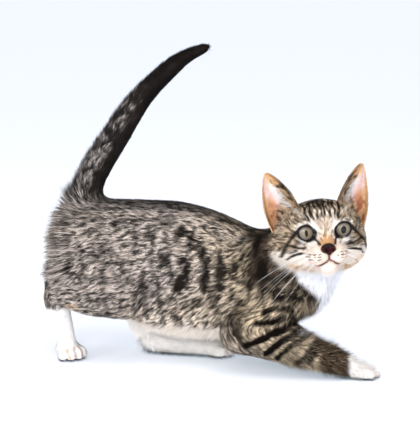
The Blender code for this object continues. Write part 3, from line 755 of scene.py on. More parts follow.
def coat_colour(points):
    """The markings, with painted shade on the neck under the head, the same for the skin and the fur."""
    x, y, z = points.T
    legs = {name: part_distance(name, points) for name in LEGS}
    shade = paint(GREY_TABBY, BUFF_TABBY, noise(points, 40, 1) + (x - 20) / 80)
    shade = flank_marks(points, shade)
    # The neck under the head: dark brown, partly its fur's own colour and partly painted shade, with the
    # collar's dark bars over it.
    neck = ramp(x, 32, 44) * ramp(z, 62, 78) * (1 - 0.55 * ramp(y, 0, 20))
    collar = ramp(noise(points, (7.0, 20.0, 12.0), 6), 0.2, 0.45)
    shade = layered(shade, (NECK_BROWN_AND_SHADE, 0.9 * neck), (STRIPE, 0.95 * neck * collar))
    near_leg, far_leg = (ramp(legs[name], 3.5, 0.5) * ramp(z, 62, 52) for name in CUFF_EDGES)
    barred = paint(shade, LEG_BUFF, ramp(x + 0.6 * z, 50, 80) * 0.95)
    uneven = ramp(noise(points, 3.5, 20), -0.3, 0.12)
    barred = strokes(points, barred, LEG_STROKES, ragged_shift(points, (18, 19), 1.2), uneven)
    shade = layered(shade, (barred, near_leg), (far_leg_marks(points), far_leg))
    shade = tail_marks(points, shade)
    shade = white_marks(points, shade, legs)
    return paint(shade, head_marks(points, shade), ramp(part_distance("head", points), 3.5, 0.0))


def tail_facing(points):
    """1 at the front edge of the tail, -1 at its back edge."""
    which, ahead, _, off = TAIL_FORM.place_along(points)
    front = np.cross(np.array([0.0, 1.0, 0.0]), ahead)
    return (off * front).sum(axis=1) / TAIL_FORM.radii[which]


def tail_marks(points, shade):
    """The tail's grey with dark flecks, dark along its front edge and at its tip."""
    x, _, z = points.T
    on_tail = ramp(z, 116, 136) * ramp(x, 30, 10)
    spots = noise(points, 3.4, 31) + 0.6 * noise(points, 1.7, 32) - 0.25 * ramp(z, 140, 215)
    return layered(
        shade,
        (TAIL_GREY, on_tail * 0.9),
        (COLD_STRIPE, on_tail * ramp(spots, 0.95, 0.62) * 0.97),
        (COLD_STRIPE, on_tail * ramp(tail_facing(points), 0.05, 0.5) * 0.97),
        (COLD_STRIPE * 0.7, 0.97 * ramp(x, -56, -46) * on_tail),
    )


def white_marks(points, shade, legs):
    """The white bib, belly, lower legs and feet, with their edges, and the dark pads."""
    x, y, z = points.T
    y = np.abs(y)
    ragged = 4.0 * (noise(points, 5, 41) - 0.5)
    belly = ramp(z + ragged, 36, 29) * ramp(x, -88, -76) * ramp(x, 62, 54) * ramp(y, 34, 26)
    hind = np.minimum(legs["hind_right"], legs["hind_left"])
    low_hind = ramp(z + ragged * 0.8, 46, 42) * ramp(hind, 3, 1)
    far_leg = ramp(legs["hind_left"], 3, 1) * ramp(x, -90, -82)
    hock = stroke(points, ((-128, -28, 58), (-127, -24, 44)), 2.2, 1.5)
    shade = layered(
        shade,
        (CREAM * 0.97, belly),
        (WHITE, low_hind * ramp(x, -92, -100)),
        (WHITE, far_leg * ramp(z + ragged, 42, 36)),
        (SPOT_BROWN, 0.35 * blob(points, (-100, -34, 47), (8, 12, 4.5))),
        (STRIPE, 0.85 * blob(points, (-124, -30, 63), (6, 9, 5))),
        (COLD_STRIPE, 0.8 * hock * ramp(noise(points, (20.0, 20.0, 3.0), 42), 0.4, 0.6)),
    )
    speckle = ramp(noise(points, 2.0, 43), 0.1, 0.42)
    for name, edge in CUFF_EDGES.items():
        leg = ramp(legs[name], 3, 1) * ramp(z, 34, 28)
        cuff = ramp(x + ragged, edge - 24, edge - 17)
        shade = layered(
            shade,
            (CUFF_BROWN, 0.95 * leg * cuff),
            (STRIPE, 0.85 * leg * cuff * speckle),
            (WHITE, leg * ramp(x + ragged * 0.5, edge - 0.5, edge + 1.5)),
        )
    forelegs = np.minimum(legs["fore_right"], legs["fore_left"])
    edge = np.interp(z, BIB_HEIGHTS, BIB_EDGES)
    bib = ramp(x + 0.5 * ragged, edge - 1.0, edge + 1.5) * ramp(z, 104, 96) * ramp(z, 34, 38)
    bib *= np.maximum(ramp(forelegs, 0.8, 2.6), ramp(z, 46, 54))
    low_chest = ramp(x, 56, 66) * ramp(z + ragged, 46, 40) * ramp(y, 20, 13)
    creases = np.maximum.reduce([stroke(points, crease, 0.5, 1.0) for crease in TOE_CREASES])
    return layered(
        shade,
        (COOL_WHITE, np.maximum(bib, low_chest)),
        (TOE_PINK, 0.75 * creases),
        (PAD, ramp(z, 2.6, 1.6) * 0.95),
    )


def new_object(name, data):
    obj = bpy.data.objects.new(name, data)
    bpy.context.scene.collection.objects.link(obj)
    return obj


def in_metres(points):
    """The points' coordinates from the frame's origin, all in one row."""
    return ((points - MIDDLE) * MM).astype(np.float32).ravel()


def mesh_from(name, points, faces_by_size):
    """A mesh object from points in millimetres and arrays of faces, each array of one size."""
    mesh = bpy.data.meshes.new(name)
    mesh.vertices.add(len(points))
    mesh.vertices.foreach_set("co", in_metres(points))
    loops = np.concatenate([faces.ravel() for faces in faces_by_size])
    sizes = np.concatenate([np.full(len(faces), faces.shape[1]) for faces in faces_by_size])
    mesh.loops.add(len(loops))
    mesh.loops.foreach_set("vertex_index", loops.astype(np.int32))
    mesh.polygons.add(len(sizes))
    mesh.polygons.foreach_set("loop_start", np.concatenate([[0], np.cumsum(sizes)[:-1]]).astype(np.int32))
    mesh.update(calc_edges=True)
    mesh.shade_smooth()
    return new_object(name, mesh)


def read(items, key, width, kind=np.float32):
    """One property of all the items, in rows of the given width."""
    found = np.empty(len(items) * width, kind)
    items.foreach_get(key, found)
    return found.reshape(-1, width)


def points_of(obj):
    return read(obj.data.vertices, "co", 3).astype(float) / MM + MIDDLE


def normals_of(obj):
    return read(obj.data.vertices, "normal", 3).astype(float)


def triangles_of(obj):
    obj.data.calc_loop_triangles()
    return read(obj.data.loop_triangles, "vertices", 3, np.int32)


def move_points(obj, points):
    obj.data.vertices.foreach_set("co", in_metres(points))
    obj.data.update()


@contextmanager
def opened(obj):
    """The object's mesh, open for editing and written back afterwards."""
    mesh = bmesh.new()
    mesh.from_mesh(obj.data)
    yield mesh
    mesh.to_mesh(obj.data)
    mesh.free()


def apply(obj):
    """Puts the object's modifiers into its mesh."""
    bpy.context.view_layer.update()
    graph = bpy.context.evaluated_depsgraph_get()
    old = obj.data
    obj.data = bpy.data.meshes.new_from_object(obj.evaluated_get(graph))
    obj.modifiers.clear()
    bpy.data.meshes.remove(old)


def set_colours(obj, shade):
    """Linear colour of each vertex, or one for all, as the attribute that the materials read."""
    rgba = np.ones((len(obj.data.vertices), 4), np.float32)
    rgba[:, :3] = np.clip(shade, 0, 1)
    attribute = obj.data.color_attributes.new("Marking", "FLOAT_COLOR", "POINT")
    attribute.data.foreach_set("color", rgba.ravel())


def fused_forms():
    """One closed mesh round all the forms."""
    mesh = bmesh.new()
    for group, _ in PARTS.values():
        for form, _, _ in group:
            for centre, axes, radii in form.balls():
                matrix = Matrix(axes).to_4x4() @ Matrix.Diagonal((*(radii * MM), 1))
                matrix.translation = Vector((centre - MIDDLE) * MM)
                bmesh.ops.create_icosphere(mesh, subdivisions=3, radius=1, matrix=matrix)
    data = bpy.data.meshes.new("skin")
    mesh.to_mesh(data)
    mesh.free()
    obj = new_object("skin", data)
    remesh = obj.modifiers.new("Remesh", "REMESH")
    remesh.mode = "VOXEL"
    remesh.voxel_size = SKIN_VOXEL * MM
    apply(obj)
    return obj


def relax(obj, rounds):
    """Smooths the mesh."""
    modifier = obj.modifiers.new("Relax", "SMOOTH")
    modifier.factor = 0.5
    modifier.iterations = rounds
    apply(obj)


def finer_where(obj, wanted):
    """Cuts each face in four where the wanted test says so of its middle."""
    with opened(obj) as mesh:
        middles = np.array([face.calc_center_median() for face in mesh.faces]) / MM + MIDDLE
        chosen = wanted(middles)
        edges = {edge for face, take in zip(mesh.faces, chosen) if take for edge in face.edges}
        bmesh.ops.subdivide_edges(mesh, edges=list(edges), cuts=1, use_grid_fill=True)


def fine_places(points):
    """The face and the feet, where the skin's mesh is finer."""
    local = to_head(points)
    face = (np.linalg.norm(local / np.array([40, 38, 34]), axis=1) < 1.05) & (local[:, 0] > -4)
    return face | (points[:, 2] < 14)


def face_carving(points, normals):
    """Presses the mouth's line, the philtrum and the eyes' openings into the skin."""
    local = to_head(points)
    face = front_view(local)
    front = ramp(local[:, 0], 16, 22)
    mouth = stroke(face, MOUTH_LINE[1:], 0.3, 1.1)
    philtrum = stroke(face, MOUTH_LINE[:2], 0.2, 0.9)
    lid = ramp(np.abs(almond_distance(face) - 1.0), 1.2, 0.2) * ramp(local[:, 0], 8, 12)
    push = 0.35 * lid - 0.9 * mouth * front - 0.7 * philtrum * front
    points = points + normals * push[:, None]
    for side in SIDES:
        local = to_head(points)
        mirror_view = np.column_stack([local[:, 1] * side, local[:, 2]])
        inside = (almond_distance(mirror_view) < 0.25) & (local[:, 0] > 8)
        off = local - mirrored(EYE_PLACE, side)
        reach = np.linalg.norm(off, axis=1)
        shorter = np.where(inside, np.minimum(reach, EYE_RADIUS - 1.2), reach)
        points = from_head(mirrored(EYE_PLACE, side) + off * (shorter / np.maximum(reach, 1e-6))[:, None])
    return points


def make_skin():
    """The body under the fur, as deep inside the outline as the coat is thick."""
    skin = fused_forms()
    points = points_of(skin)
    move_points(skin, settle(points, -Lie(points).depth, 5))
    relax(skin, 3)
    finer_where(skin, fine_places)
    relax(skin, 2)
    points = points_of(skin)
    points = settle(points, -Lie(points).depth, 3)
    move_points(skin, points)
    points = face_carving(points, normals_of(skin))
    points[:, 2] = np.maximum(points[:, 2], SKIN_CLEARANCE)
    move_points(skin, points)
    skin.data.shade_smooth()
    # The skin takes the coat's colours, darkened as painted shade under the fur.
    set_colours(skin, coat_colour(points) * SKIN_PAINTED_SHADE)
    return skin


def set_inputs(node, values):
    for socket, value in values.items():
        node.inputs[socket].default_value = value


def new_material(name, values):
    """A material, its node tree, and its shader with the given values."""
    material = bpy.data.materials.new(name)
    material.use_nodes = True
    shader = material.node_tree.nodes["Principled BSDF"]
    set_inputs(shader, values)
    return material, material.node_tree, shader


def add_node(tree, kind, sources, values):
    """A node with some inputs linked from source sockets and others set to values."""
    node = tree.nodes.new(kind)
    set_inputs(node, values)
    for socket, source in sources.items():
        tree.links.new(source, node.inputs[socket])
    return node


def add_relief(tree, shader, height, strength, depth):
    """Bumps on the shader's surface, their depth in millimetres."""
    values = {"Strength": strength, "Distance": depth * MM}
    relief = add_node(tree, "ShaderNodeBump", {"Height": height}, values)
    tree.links.new(relief.outputs["Normal"], shader.inputs["Normal"])


def attribute_material(name, roughness, bump=0.0, bump_scale=900.0, tone=0.12, coat=0.0, gloss=0.3):
    """A finish that takes its colour from the vertices, with fine uneven tone and bump."""
    values = {"Roughness": roughness, "Specular IOR Level": gloss,
              "Coat Weight": coat, "Coat Roughness": 0.05}
    material, tree, shader = new_material(name, values)
    marking = tree.nodes.new("ShaderNodeAttribute")
    marking.attribute_name = "Marking"
    place = tree.nodes.new("ShaderNodeTexCoord").outputs["Object"]
    values = {"Scale": bump_scale, "Detail": 3.0}
    grain = add_node(tree, "ShaderNodeTexNoise", {"Vector": place}, values).outputs["Fac"]
    values = {"To Min": 1 - tone, "To Max": 1 + tone}
    span = add_node(tree, "ShaderNodeMapRange", {"Value": grain}, values)
    tint = tree.nodes.new("ShaderNodeVectorMath")
    tint.operation = "SCALE"
    tree.links.new(marking.outputs["Color"], tint.inputs[0])
    tree.links.new(span.outputs["Result"], tint.inputs["Scale"])
    tree.links.new(tint.outputs["Vector"], shader.inputs["Base Color"])
    if bump:
        add_relief(tree, shader, grain, bump, 0.4)
    return material


def scatter(points, normals, faces, density, rng):
    """Random places on the faces, about density of each face to a square millimetre, with their normals."""
    a, b, c = (points[faces[:, k]] for k in range(3))
    area = np.linalg.norm(np.cross(b - a, c - a), axis=1) / 2
    wanted = area * density
    count = np.floor(wanted + rng.random(len(faces))).astype(int)
    which = np.repeat(np.arange(len(faces)), count)
    u, v = rng.random(len(which)), rng.random(len(which))
    over = u + v > 1
    u[over], v[over] = 1 - u[over], 1 - v[over]
    weights = np.column_stack([1 - u - v, u, v])[:, :, None]
    corners = faces[which]
    return (points[corners] * weights).sum(axis=1), unit((normals[corners] * weights).sum(axis=1))


class Blades:
    """Thin tapered hairs, each with a root, a bend and a tip."""

    def __init__(self, roots, normals, along, length, width, rise):
        self.roots, self.normals, self.length, self.width = roots, normals, length, width
        along = unit(along - normals * (along * normals).sum(axis=1)[:, None])
        self.side = unit(np.cross(normals, along))
        self.bend = roots + along * (0.5 * length)[:, None] + normals * (0.62 * rise)[:, None]
        self.tip = roots + along * length[:, None] + normals * rise[:, None]

    def follow(self, bend_level, tip_level):
        """Brings the bends and tips to their levels over the curved body."""
        self.bend = self.bend - self.normals * (outline(self.bend) - bend_level)[:, None]
        self.tip = self.tip - self.normals * (outline(self.tip) - tip_level)[:, None]

    def some(self, chosen):
        """The chosen hairs alone."""
        part = copy(self)
        for key, value in vars(self).items():
            setattr(part, key, value[chosen])
        return part

    def corners(self):
        """Both sides of the root, both of the narrower bend, and the tip."""
        wide = self.side * (self.width / 2)[:, None]
        inner = wide * 0.8
        rows = [self.roots - wide, self.roots + wide, self.bend + inner, self.bend - inner, self.tip]
        points = np.stack(rows, axis=1)
        points[:, :, 2] = np.maximum(points[:, :, 2], HAIR_CLEARANCE)
        return points

    def faces(self):
        """A quad from root to bend and a triangle from there to the tip."""
        base = 5 * np.arange(len(self.roots))[:, None]
        return [base + np.array([[3, 2, 1, 0]]), base + np.array([[4, 2, 3]])]


# The lines that the parts' unwraps go round. The head is unwrapped from its front.
SPINES = {
    "trunk": ((-100, 0, 96), (-50, 0, 78), (0, 0, 72), (70, 0, 66)),
    "neck": ((30, 0, 74), (60, -1, 82), (95, -6, 98)),
    "tail": ((-101, 0, 110), (-97.5, 0, 142), (-74, 0, 180.6), (-32.6, 0, 230), (0, 0, 248)),
    "hind_right": ((-86, -20, 90), (-70, -30, 62), (-104, -31, 56), (-117, -26, 45), (-113, -17, 5)),
    "hind_left": ((-86, 20, 90), (-45, 30, 52), (-24, 32, 41), (-53, 23, 14), (4, 22, 7)),
    "fore_right": ((55, -22, 80), (36, -35, 35), (78, -32, 22), (128, -22, 6)),
    "fore_left": ((55, 22, 80), (38, 32, 30), (60, 28, 18), (92, 20, 6)),
}
# A hair's patch on the unwrap, its size and its five corners, and the empty edge of the unwrap.
PATCH_SIZE = 0.003
UNWRAP_MARGIN = 0.01
PATCH_CORNERS = ((-0.5, -0.5), (0.5, -0.5), (0.4, 0.1), (-0.4, 0.1), (0.0, 0.5))


def chart(points, part):
    """Each point's place on an unwrap round the part's spine: along it, and the angle about it."""
    if part == "head":
        local = to_head(points) - np.array([-4.0, 0, 0])
        polar = np.arccos(np.clip(local[:, 0] / np.linalg.norm(local, axis=1), -1, 1)) / math.pi
        angle = np.arctan2(local[:, 2], local[:, 1])
        return np.column_stack([polar * np.cos(angle), polar * np.sin(angle)])
    _, ahead, start, off = Tube(SPINES[part], [1.0] * len(SPINES[part])).place_along(points)
    along = (off * ahead).sum(axis=1)
    off = off - along[:, None] * ahead
    side = unit(np.cross(ahead, np.array([0.3, 1.0, 0.2])))
    other = np.cross(ahead, side)
    return np.column_stack([start + along, np.arctan2((off * side).sum(axis=1), (off * other).sum(axis=1))])


def coat_object(name, blades, shades, material, part):
    """One mesh of hairs, lit partly as the skin below them is, with its colours and its unwrap."""
    obj = mesh_from(name, blades.corners().reshape(-1, 3), blades.faces())
    set_colours(obj, shades.reshape(-1, 3))
    face_normal = unit(np.cross(blades.side, blades.tip - blades.roots))
    flip = np.sign((face_normal * blades.normals).sum(axis=1))[:, None]
    face_normal = face_normal * np.where(flip == 0, 1, flip)
    normal = unit(0.6 * blades.normals + 0.5 * face_normal)
    normal = unit(normal + 0.35 * blades.jitter)
    obj.data.normals_split_custom_set_from_vertices(np.repeat(normal, 5, axis=0).astype(np.float32))
    place = chart(blades.roots, part)
    low, high = place.min(axis=0), place.max(axis=0)
    place = UNWRAP_MARGIN + (1 - 2 * UNWRAP_MARGIN) * (place - low) / (high - low)
    uv = (place[:, None, :] + PATCH_SIZE * np.array(PATCH_CORNERS)).reshape(-1, 2)
    corner_of = read(obj.data.loops, "vertex_index", 1, np.int32).ravel()
    layer = obj.data.uv_layers.new(name="OFBake")
    layer.data.foreach_set("uv", uv[corner_of].astype(np.float32).ravel())
    obj.data.materials.append(material)
    return obj


def bare_places(points):
    """Where no fur grows: the eyes' openings, the nose, the mouth's line and the soles."""
    local = to_head(points)
    face = front_view(local)
    eye = (almond_distance(face) < 1.0) & (local[:, 0] > 8)
    nose = np.linalg.norm((local - NOSE_PLACE) / np.array([6.4, 7.0, 4.6]), axis=1) < 1
    mouth = (stroke(face, MOUTH_LINE, 0.3, 0.3) > 0.5) & (local[:, 0] > 20)
    sole = points[:, 2] < 1.2
    return eye | nose | mouth | sole


# Hairs to a square millimetre, their width, and the most hairs in one piece.
DENSITY = {"trunk": 3.5, "neck": 3.8, "tail": 5.4, "hind_right": 3.6, "hind_left": 3.2,
           "fore_right": 4.2, "fore_left": 3.6, "head": 5.0}
WIDTH = {"trunk": 0.42, "neck": 0.4, "tail": 0.38, "hind_right": 0.4, "hind_left": 0.4,
         "fore_right": 0.36, "fore_left": 0.36, "head": 0.26}
MOST_HAIRS = 66000
# The share of hairs that stand out of the coat and how far, and the most that loose hairs do.
FUZZ_SHARE, FUZZ_REACH = 0.05, 1.2
STRAGGLE_REACH = 22.0
# How far the hairs near the tail's tip stand out.
BRUSH_REACH = 0.9
# The lengths of the coat at which the contrast between its hairs is given.
CONTRAST_LENGTHS, CONTRASTS = (3, 4.5, 6), (1.3, 1.8, 2.8)


def streaks(points, along, scale, seed):
    """Noise drawn out along the lie of the fur."""
    steps = (-1.8, -0.9, 0, 0.9, 1.8)
    return np.mean([noise(points + step * along, scale, seed) for step in steps], axis=0)


def hair_shades(blades, along, rng):
    """Colours of each hair's five corners: uneven and banded on the tabby, plain on white and on stripes,
    and darker at the root as painted shade.
    """
    low, near, far = (coat_colour(places) for places in (blades.roots, blades.bend, blades.tip))
    count = len(near)
    light = near.mean(axis=1)
    vivid = 1 - near.min(axis=1) / near.max(axis=1)
    tabby = ramp(light, 0.6, 0.36) * ramp(light, 0.0, 0.05) * ramp(vivid, 0.72, 0.55)
    clump = 3.4 * (streaks(blades.bend, along, 1.2, 51) - 0.5) + 1.2 * (noise(blades.bend, 0.8, 52) - 0.5)
    contrast = np.interp(blades.length, CONTRAST_LENGTHS, CONTRASTS)
    chance = rng.random(count) - 0.5
    tone = np.exp(tabby * (contrast * clump + 1.1 * chance) + (1 - tabby) * 0.12 * chance)
    tone = np.clip(tone, 0.08, 2.4)
    tone *= 1 - 0.75 * tabby * (rng.random(count) < 0.2)
    tick = tabby * (rng.random(count) < 0.3)
    # Painted shade: each hair is darker at its root, most on the tabby.
    root = low * (tone * (0.9 - 0.3 * tabby))[:, None]
    middle = near * tone[:, None]
    tip = far * (tone * (1.08 - 0.7 * tick))[:, None]
    return np.stack([root, root, middle, middle, tip], axis=1)


def lay_fur(roots, outward, width, rng):
    """Hairs along the lie of the coat, and the colours of their corners."""
    lie = Lie(roots)
    count = len(roots)
    turn = 0.9 * (noise(roots, 3.0, 61) - 0.5) + 0.5 * (rng.random(count) - 0.5)
    along = unit(lie.along - outward * (lie.along * outward).sum(axis=1)[:, None])
    along = unit(along + np.cross(outward, along) * turn[:, None])
    loose = loose_places(roots)
    length = lie.length * (0.75 + 0.5 * rng.random(count)) * (1 + 0.5 * loose)
    uneven = noise(roots, 2.4, 62) - 0.5
    rise = lie.depth * (0.95 + 0.35 * uneven)
    widths = width * np.clip(lie.length / 6, 0.65, 1.1) * (1 + 0.3 * loose)
    blades = Blades(roots, outward, along, length, widths, rise)
    fuzz = np.where(rng.random(count) < FUZZ_SHARE, rng.random(count) * FUZZ_REACH, 0.0)
    fuzz = fuzz * ramp(roots[:, 2], 246, 236)
    brush = BRUSH_REACH * ramp(roots[:, 2], 212, 238)
    straggle = loose * np.maximum(0, rng.random(count) - 0.35) ** 1.5 * STRAGGLE_REACH + fuzz
    bend_level = -lie.depth * (0.42 + 0.2 * uneven) + 0.45 * straggle + brush
    tip_level = lie.depth * (0.35 * uneven - 0.1 - 0.35 * rng.random(count)) + straggle + brush
    blades.follow(bend_level, tip_level)
    blades.jitter = rng.normal(size=(count, 3)) * 0.5
    return blades, hair_shades(blades, along, rng)


def make_fur(skin, material):
    """The fur of each part, rooted on the skin, in pieces of MOST_HAIRS at most."""
    points, normals, faces = points_of(skin), normals_of(skin), triangles_of(skin)
    middles = points[faces].mean(axis=1)
    part_of_face = Lie(middles).part
    bare = bare_places(middles)
    pieces = []
    for index, part in enumerate(PARTS):
        rng = np.random.default_rng(100 + index)
        density = np.where((part_of_face == index) & ~bare, DENSITY[part], 0.0)
        if part == "head":
            density = density * (1 + 1.3 * ramp(to_head(middles)[:, 0], 0, 12))
        roots, outward = scatter(points, normals, faces, density, rng)
        order = rng.permutation(len(roots))
        blades, shades = lay_fur(roots[order], outward[order], WIDTH[part], rng)
        for number, start in enumerate(range(0, len(roots), MOST_HAIRS)):
            chosen = slice(start, start + MOST_HAIRS)
            name = f"fur_{part}" + (f"_{number + 1}" if len(roots) > MOST_HAIRS else "")
            pieces.append(coat_object(name, blades.some(chosen), shades[chosen], material, part))
    return pieces


def loose_places(points):
    """Where the coat is loose at its edge: the rump, the tail's back, the belly and the chest."""
    x, y, z = points.T
    rump = ramp(x, -92, -102) * ramp(z, 62, 76) * ramp(z, 150, 120)
    belly = ramp(z, 40, 32) * ramp(x, -80, -60) * ramp(x, 60, 40) * ramp(np.abs(y), 36, 26) * 0.6
    chest = ramp(x, 60, 72) * ramp(z, 90, 80) * 0.5
    back = ramp(tail_facing(points), 0.1, -0.5) * ramp(z, 112, 130) * ramp(x, 10, -10)
    tail = back * np.interp(z, [120, 150, 200, 245], [0.4, 0.35, 0.3, 0.15])
    return np.maximum.reduce([rump, belly, chest, tail])


def ear_surface(side):
    """The outer sheet of an ear, its inward normals and the way up to its tip."""
    base, tip = mirrored(EAR_BASE, side), mirrored(EAR_TIP, side)
    up = unit(tip - base)
    facing = np.array([0.86, 0.5 * side, 0.0])
    facing -= up * (facing @ up)
    facing = unit(facing)
    across = np.cross(up, facing)
    sheet = []
    for v in np.linspace(EAR_LOW, EAR_HIGH, EAR_ROWS):
        rise = max(v, 0.0)
        full = (1 - rise**2) ** 0.68
        wrap = math.radians(112 - 42 * rise)
        for angle in np.linspace(-wrap, wrap, EAR_COLUMNS):
            wide = EAR_HALF_WIDTH * full * math.sin(angle)
            back = EAR_DEPTH * (0.3 + 0.7 * (1 - rise)) * full * math.cos(angle)
            sheet.append(base + (tip - base) * v + across * wide - facing * back)
    sheet = np.array(sheet).reshape(EAR_ROWS, EAR_COLUMNS, 3)
    normal = unit(np.cross(np.gradient(sheet, axis=0), np.gradient(sheet, axis=1)))
    if normal[EAR_ROWS // 2, EAR_COLUMNS // 2] @ facing < 0:
        normal = -normal
    return sheet, normal, up


def grid_faces(number):
    """Quads between the neighbours in a grid of point numbers."""
    corners = [number[:-1, :-1], number[:-1, 1:], number[1:, 1:], number[1:, :-1]]
    return np.stack(corners, axis=-1).reshape(-1, 4)


def coloured_mesh(name, points, quads, shade, material):
    """A mesh with its colours and finish, its faces turned outward."""
    obj = mesh_from(name, points, [quads])
    set_colours(obj, shade)
    obj.data.materials.append(material)
    with opened(obj) as mesh:
        bmesh.ops.recalc_face_normals(mesh, faces=mesh.faces)
    return obj


def make_ear(side, skin_material, fur_material):
    """An open cup with two sheets and a rim, and its fur."""
    sheet, normal, up = ear_surface(side)
    edge = np.minimum(1, 4 * (1 - np.abs(np.linspace(-1, 1, EAR_COLUMNS))))[None, :]
    high = np.minimum(1, 4 * (1 - np.linspace(0, 1, EAR_ROWS)))[:, None]
    thick = 0.5 + (EAR_THICK - 0.5) * edge * high
    outer = sheet + normal * 0.7 * (edge * high)[..., None]
    inner = outer + normal * thick[..., None]
    points = from_head(np.concatenate([outer.reshape(-1, 3), inner.reshape(-1, 3)]))
    size = EAR_ROWS * EAR_COLUMNS
    number = np.arange(size).reshape(EAR_ROWS, EAR_COLUMNS)
    rim = np.concatenate([number[0], number[1:, -1], number[-1, -2::-1], number[-2:0:-1, 0]])
    walls = np.column_stack([rim, size + rim, size + np.roll(rim, -1), np.roll(rim, -1)])
    quads = np.concatenate([grid_faces(number), grid_faces(number + size)[:, ::-1], walls])
    height = np.tile(np.repeat(np.linspace(EAR_LOW, EAR_HIGH, EAR_ROWS), EAR_COLUMNS), 2)
    crown_last = crown_edge_is_last(sheet)
    inward = np.tile(np.linspace(-1, 1, EAR_COLUMNS), 2 * EAR_ROWS) * (1 if crown_last else -1)
    shade = ear_colour(height, inward, np.repeat([0.0, 1.0], size), points)
    cup = coloured_mesh(f"ear_{SIDES[side]}_cup", points, quads, shade, skin_material)
    return [cup, *ear_fur(side, outer, inner, normal, up, crown_last, fur_material)]


def ear_colour(v, inward, inside, points):
    """inward is 1 at the edge next to the crown and -1 at the outer edge, and inside is 1 in the cup."""
    mottle = ramp(noise(points, 3.0, 71), 0.42, 0.62)
    soft_mottle = ramp(noise(points, 5.0, 71), 0.3, 0.75)
    back = layered(
        EAR_BUFF,
        (COLD_STRIPE, 0.8 * soft_mottle * ramp(v, 0.95, 0.5)),
        (HEAD_TABBY * 0.7, ramp(inward, 0.7, 0.85) * ramp(v, 0.9, 0.7)),
    )
    across = np.sin(1.75 * inward)
    furred = ramp(across, 0.3, 0.5) * ramp(v, 0.95, 0.75)
    cup = layered(
        EAR_SKIN,
        (EAR_RUST, ramp(across, -0.2, -0.6) * (0.35 + 0.65 * ramp(v, 0.7, 0.35))),
        (EAR_DEEP, 0.7 * ramp(across, 0.0, -0.4) * ramp(v, 0.5, 0.2) * mottle),
        (EAR_DEEP, ramp(v, 0.3, 0.05) * ramp(across, 0.2, -0.2) * 0.9),
        (BUFF_TABBY, furred),
        (STRIPE, 0.8 * furred * mottle),
        (EAR_BUFF, np.maximum(ramp(-inward, 0.86, 0.95), ramp(v, 0.76, 0.88))),
    )
    return paint(back, cup, inside)


# Hairs on an ear: on its back, its rim, inside next to the crown and to the outer edge, and white ones.
BACK_HAIRS, RIM_HAIRS, CROWN_HAIRS, EDGE_HAIRS, WHITE_HAIRS = 9000, 2600, 5200, 2400, 260
# How much of the ear's inner width the fur next to the crown covers, at heights up the ear.
CROWN_FUR_HEIGHTS = (EAR_LOW, 0.1, 0.3, 0.6, 0.95)
CROWN_FUR_WIDTHS = (0.85, 0.68, 0.5, 0.41, 0.45)


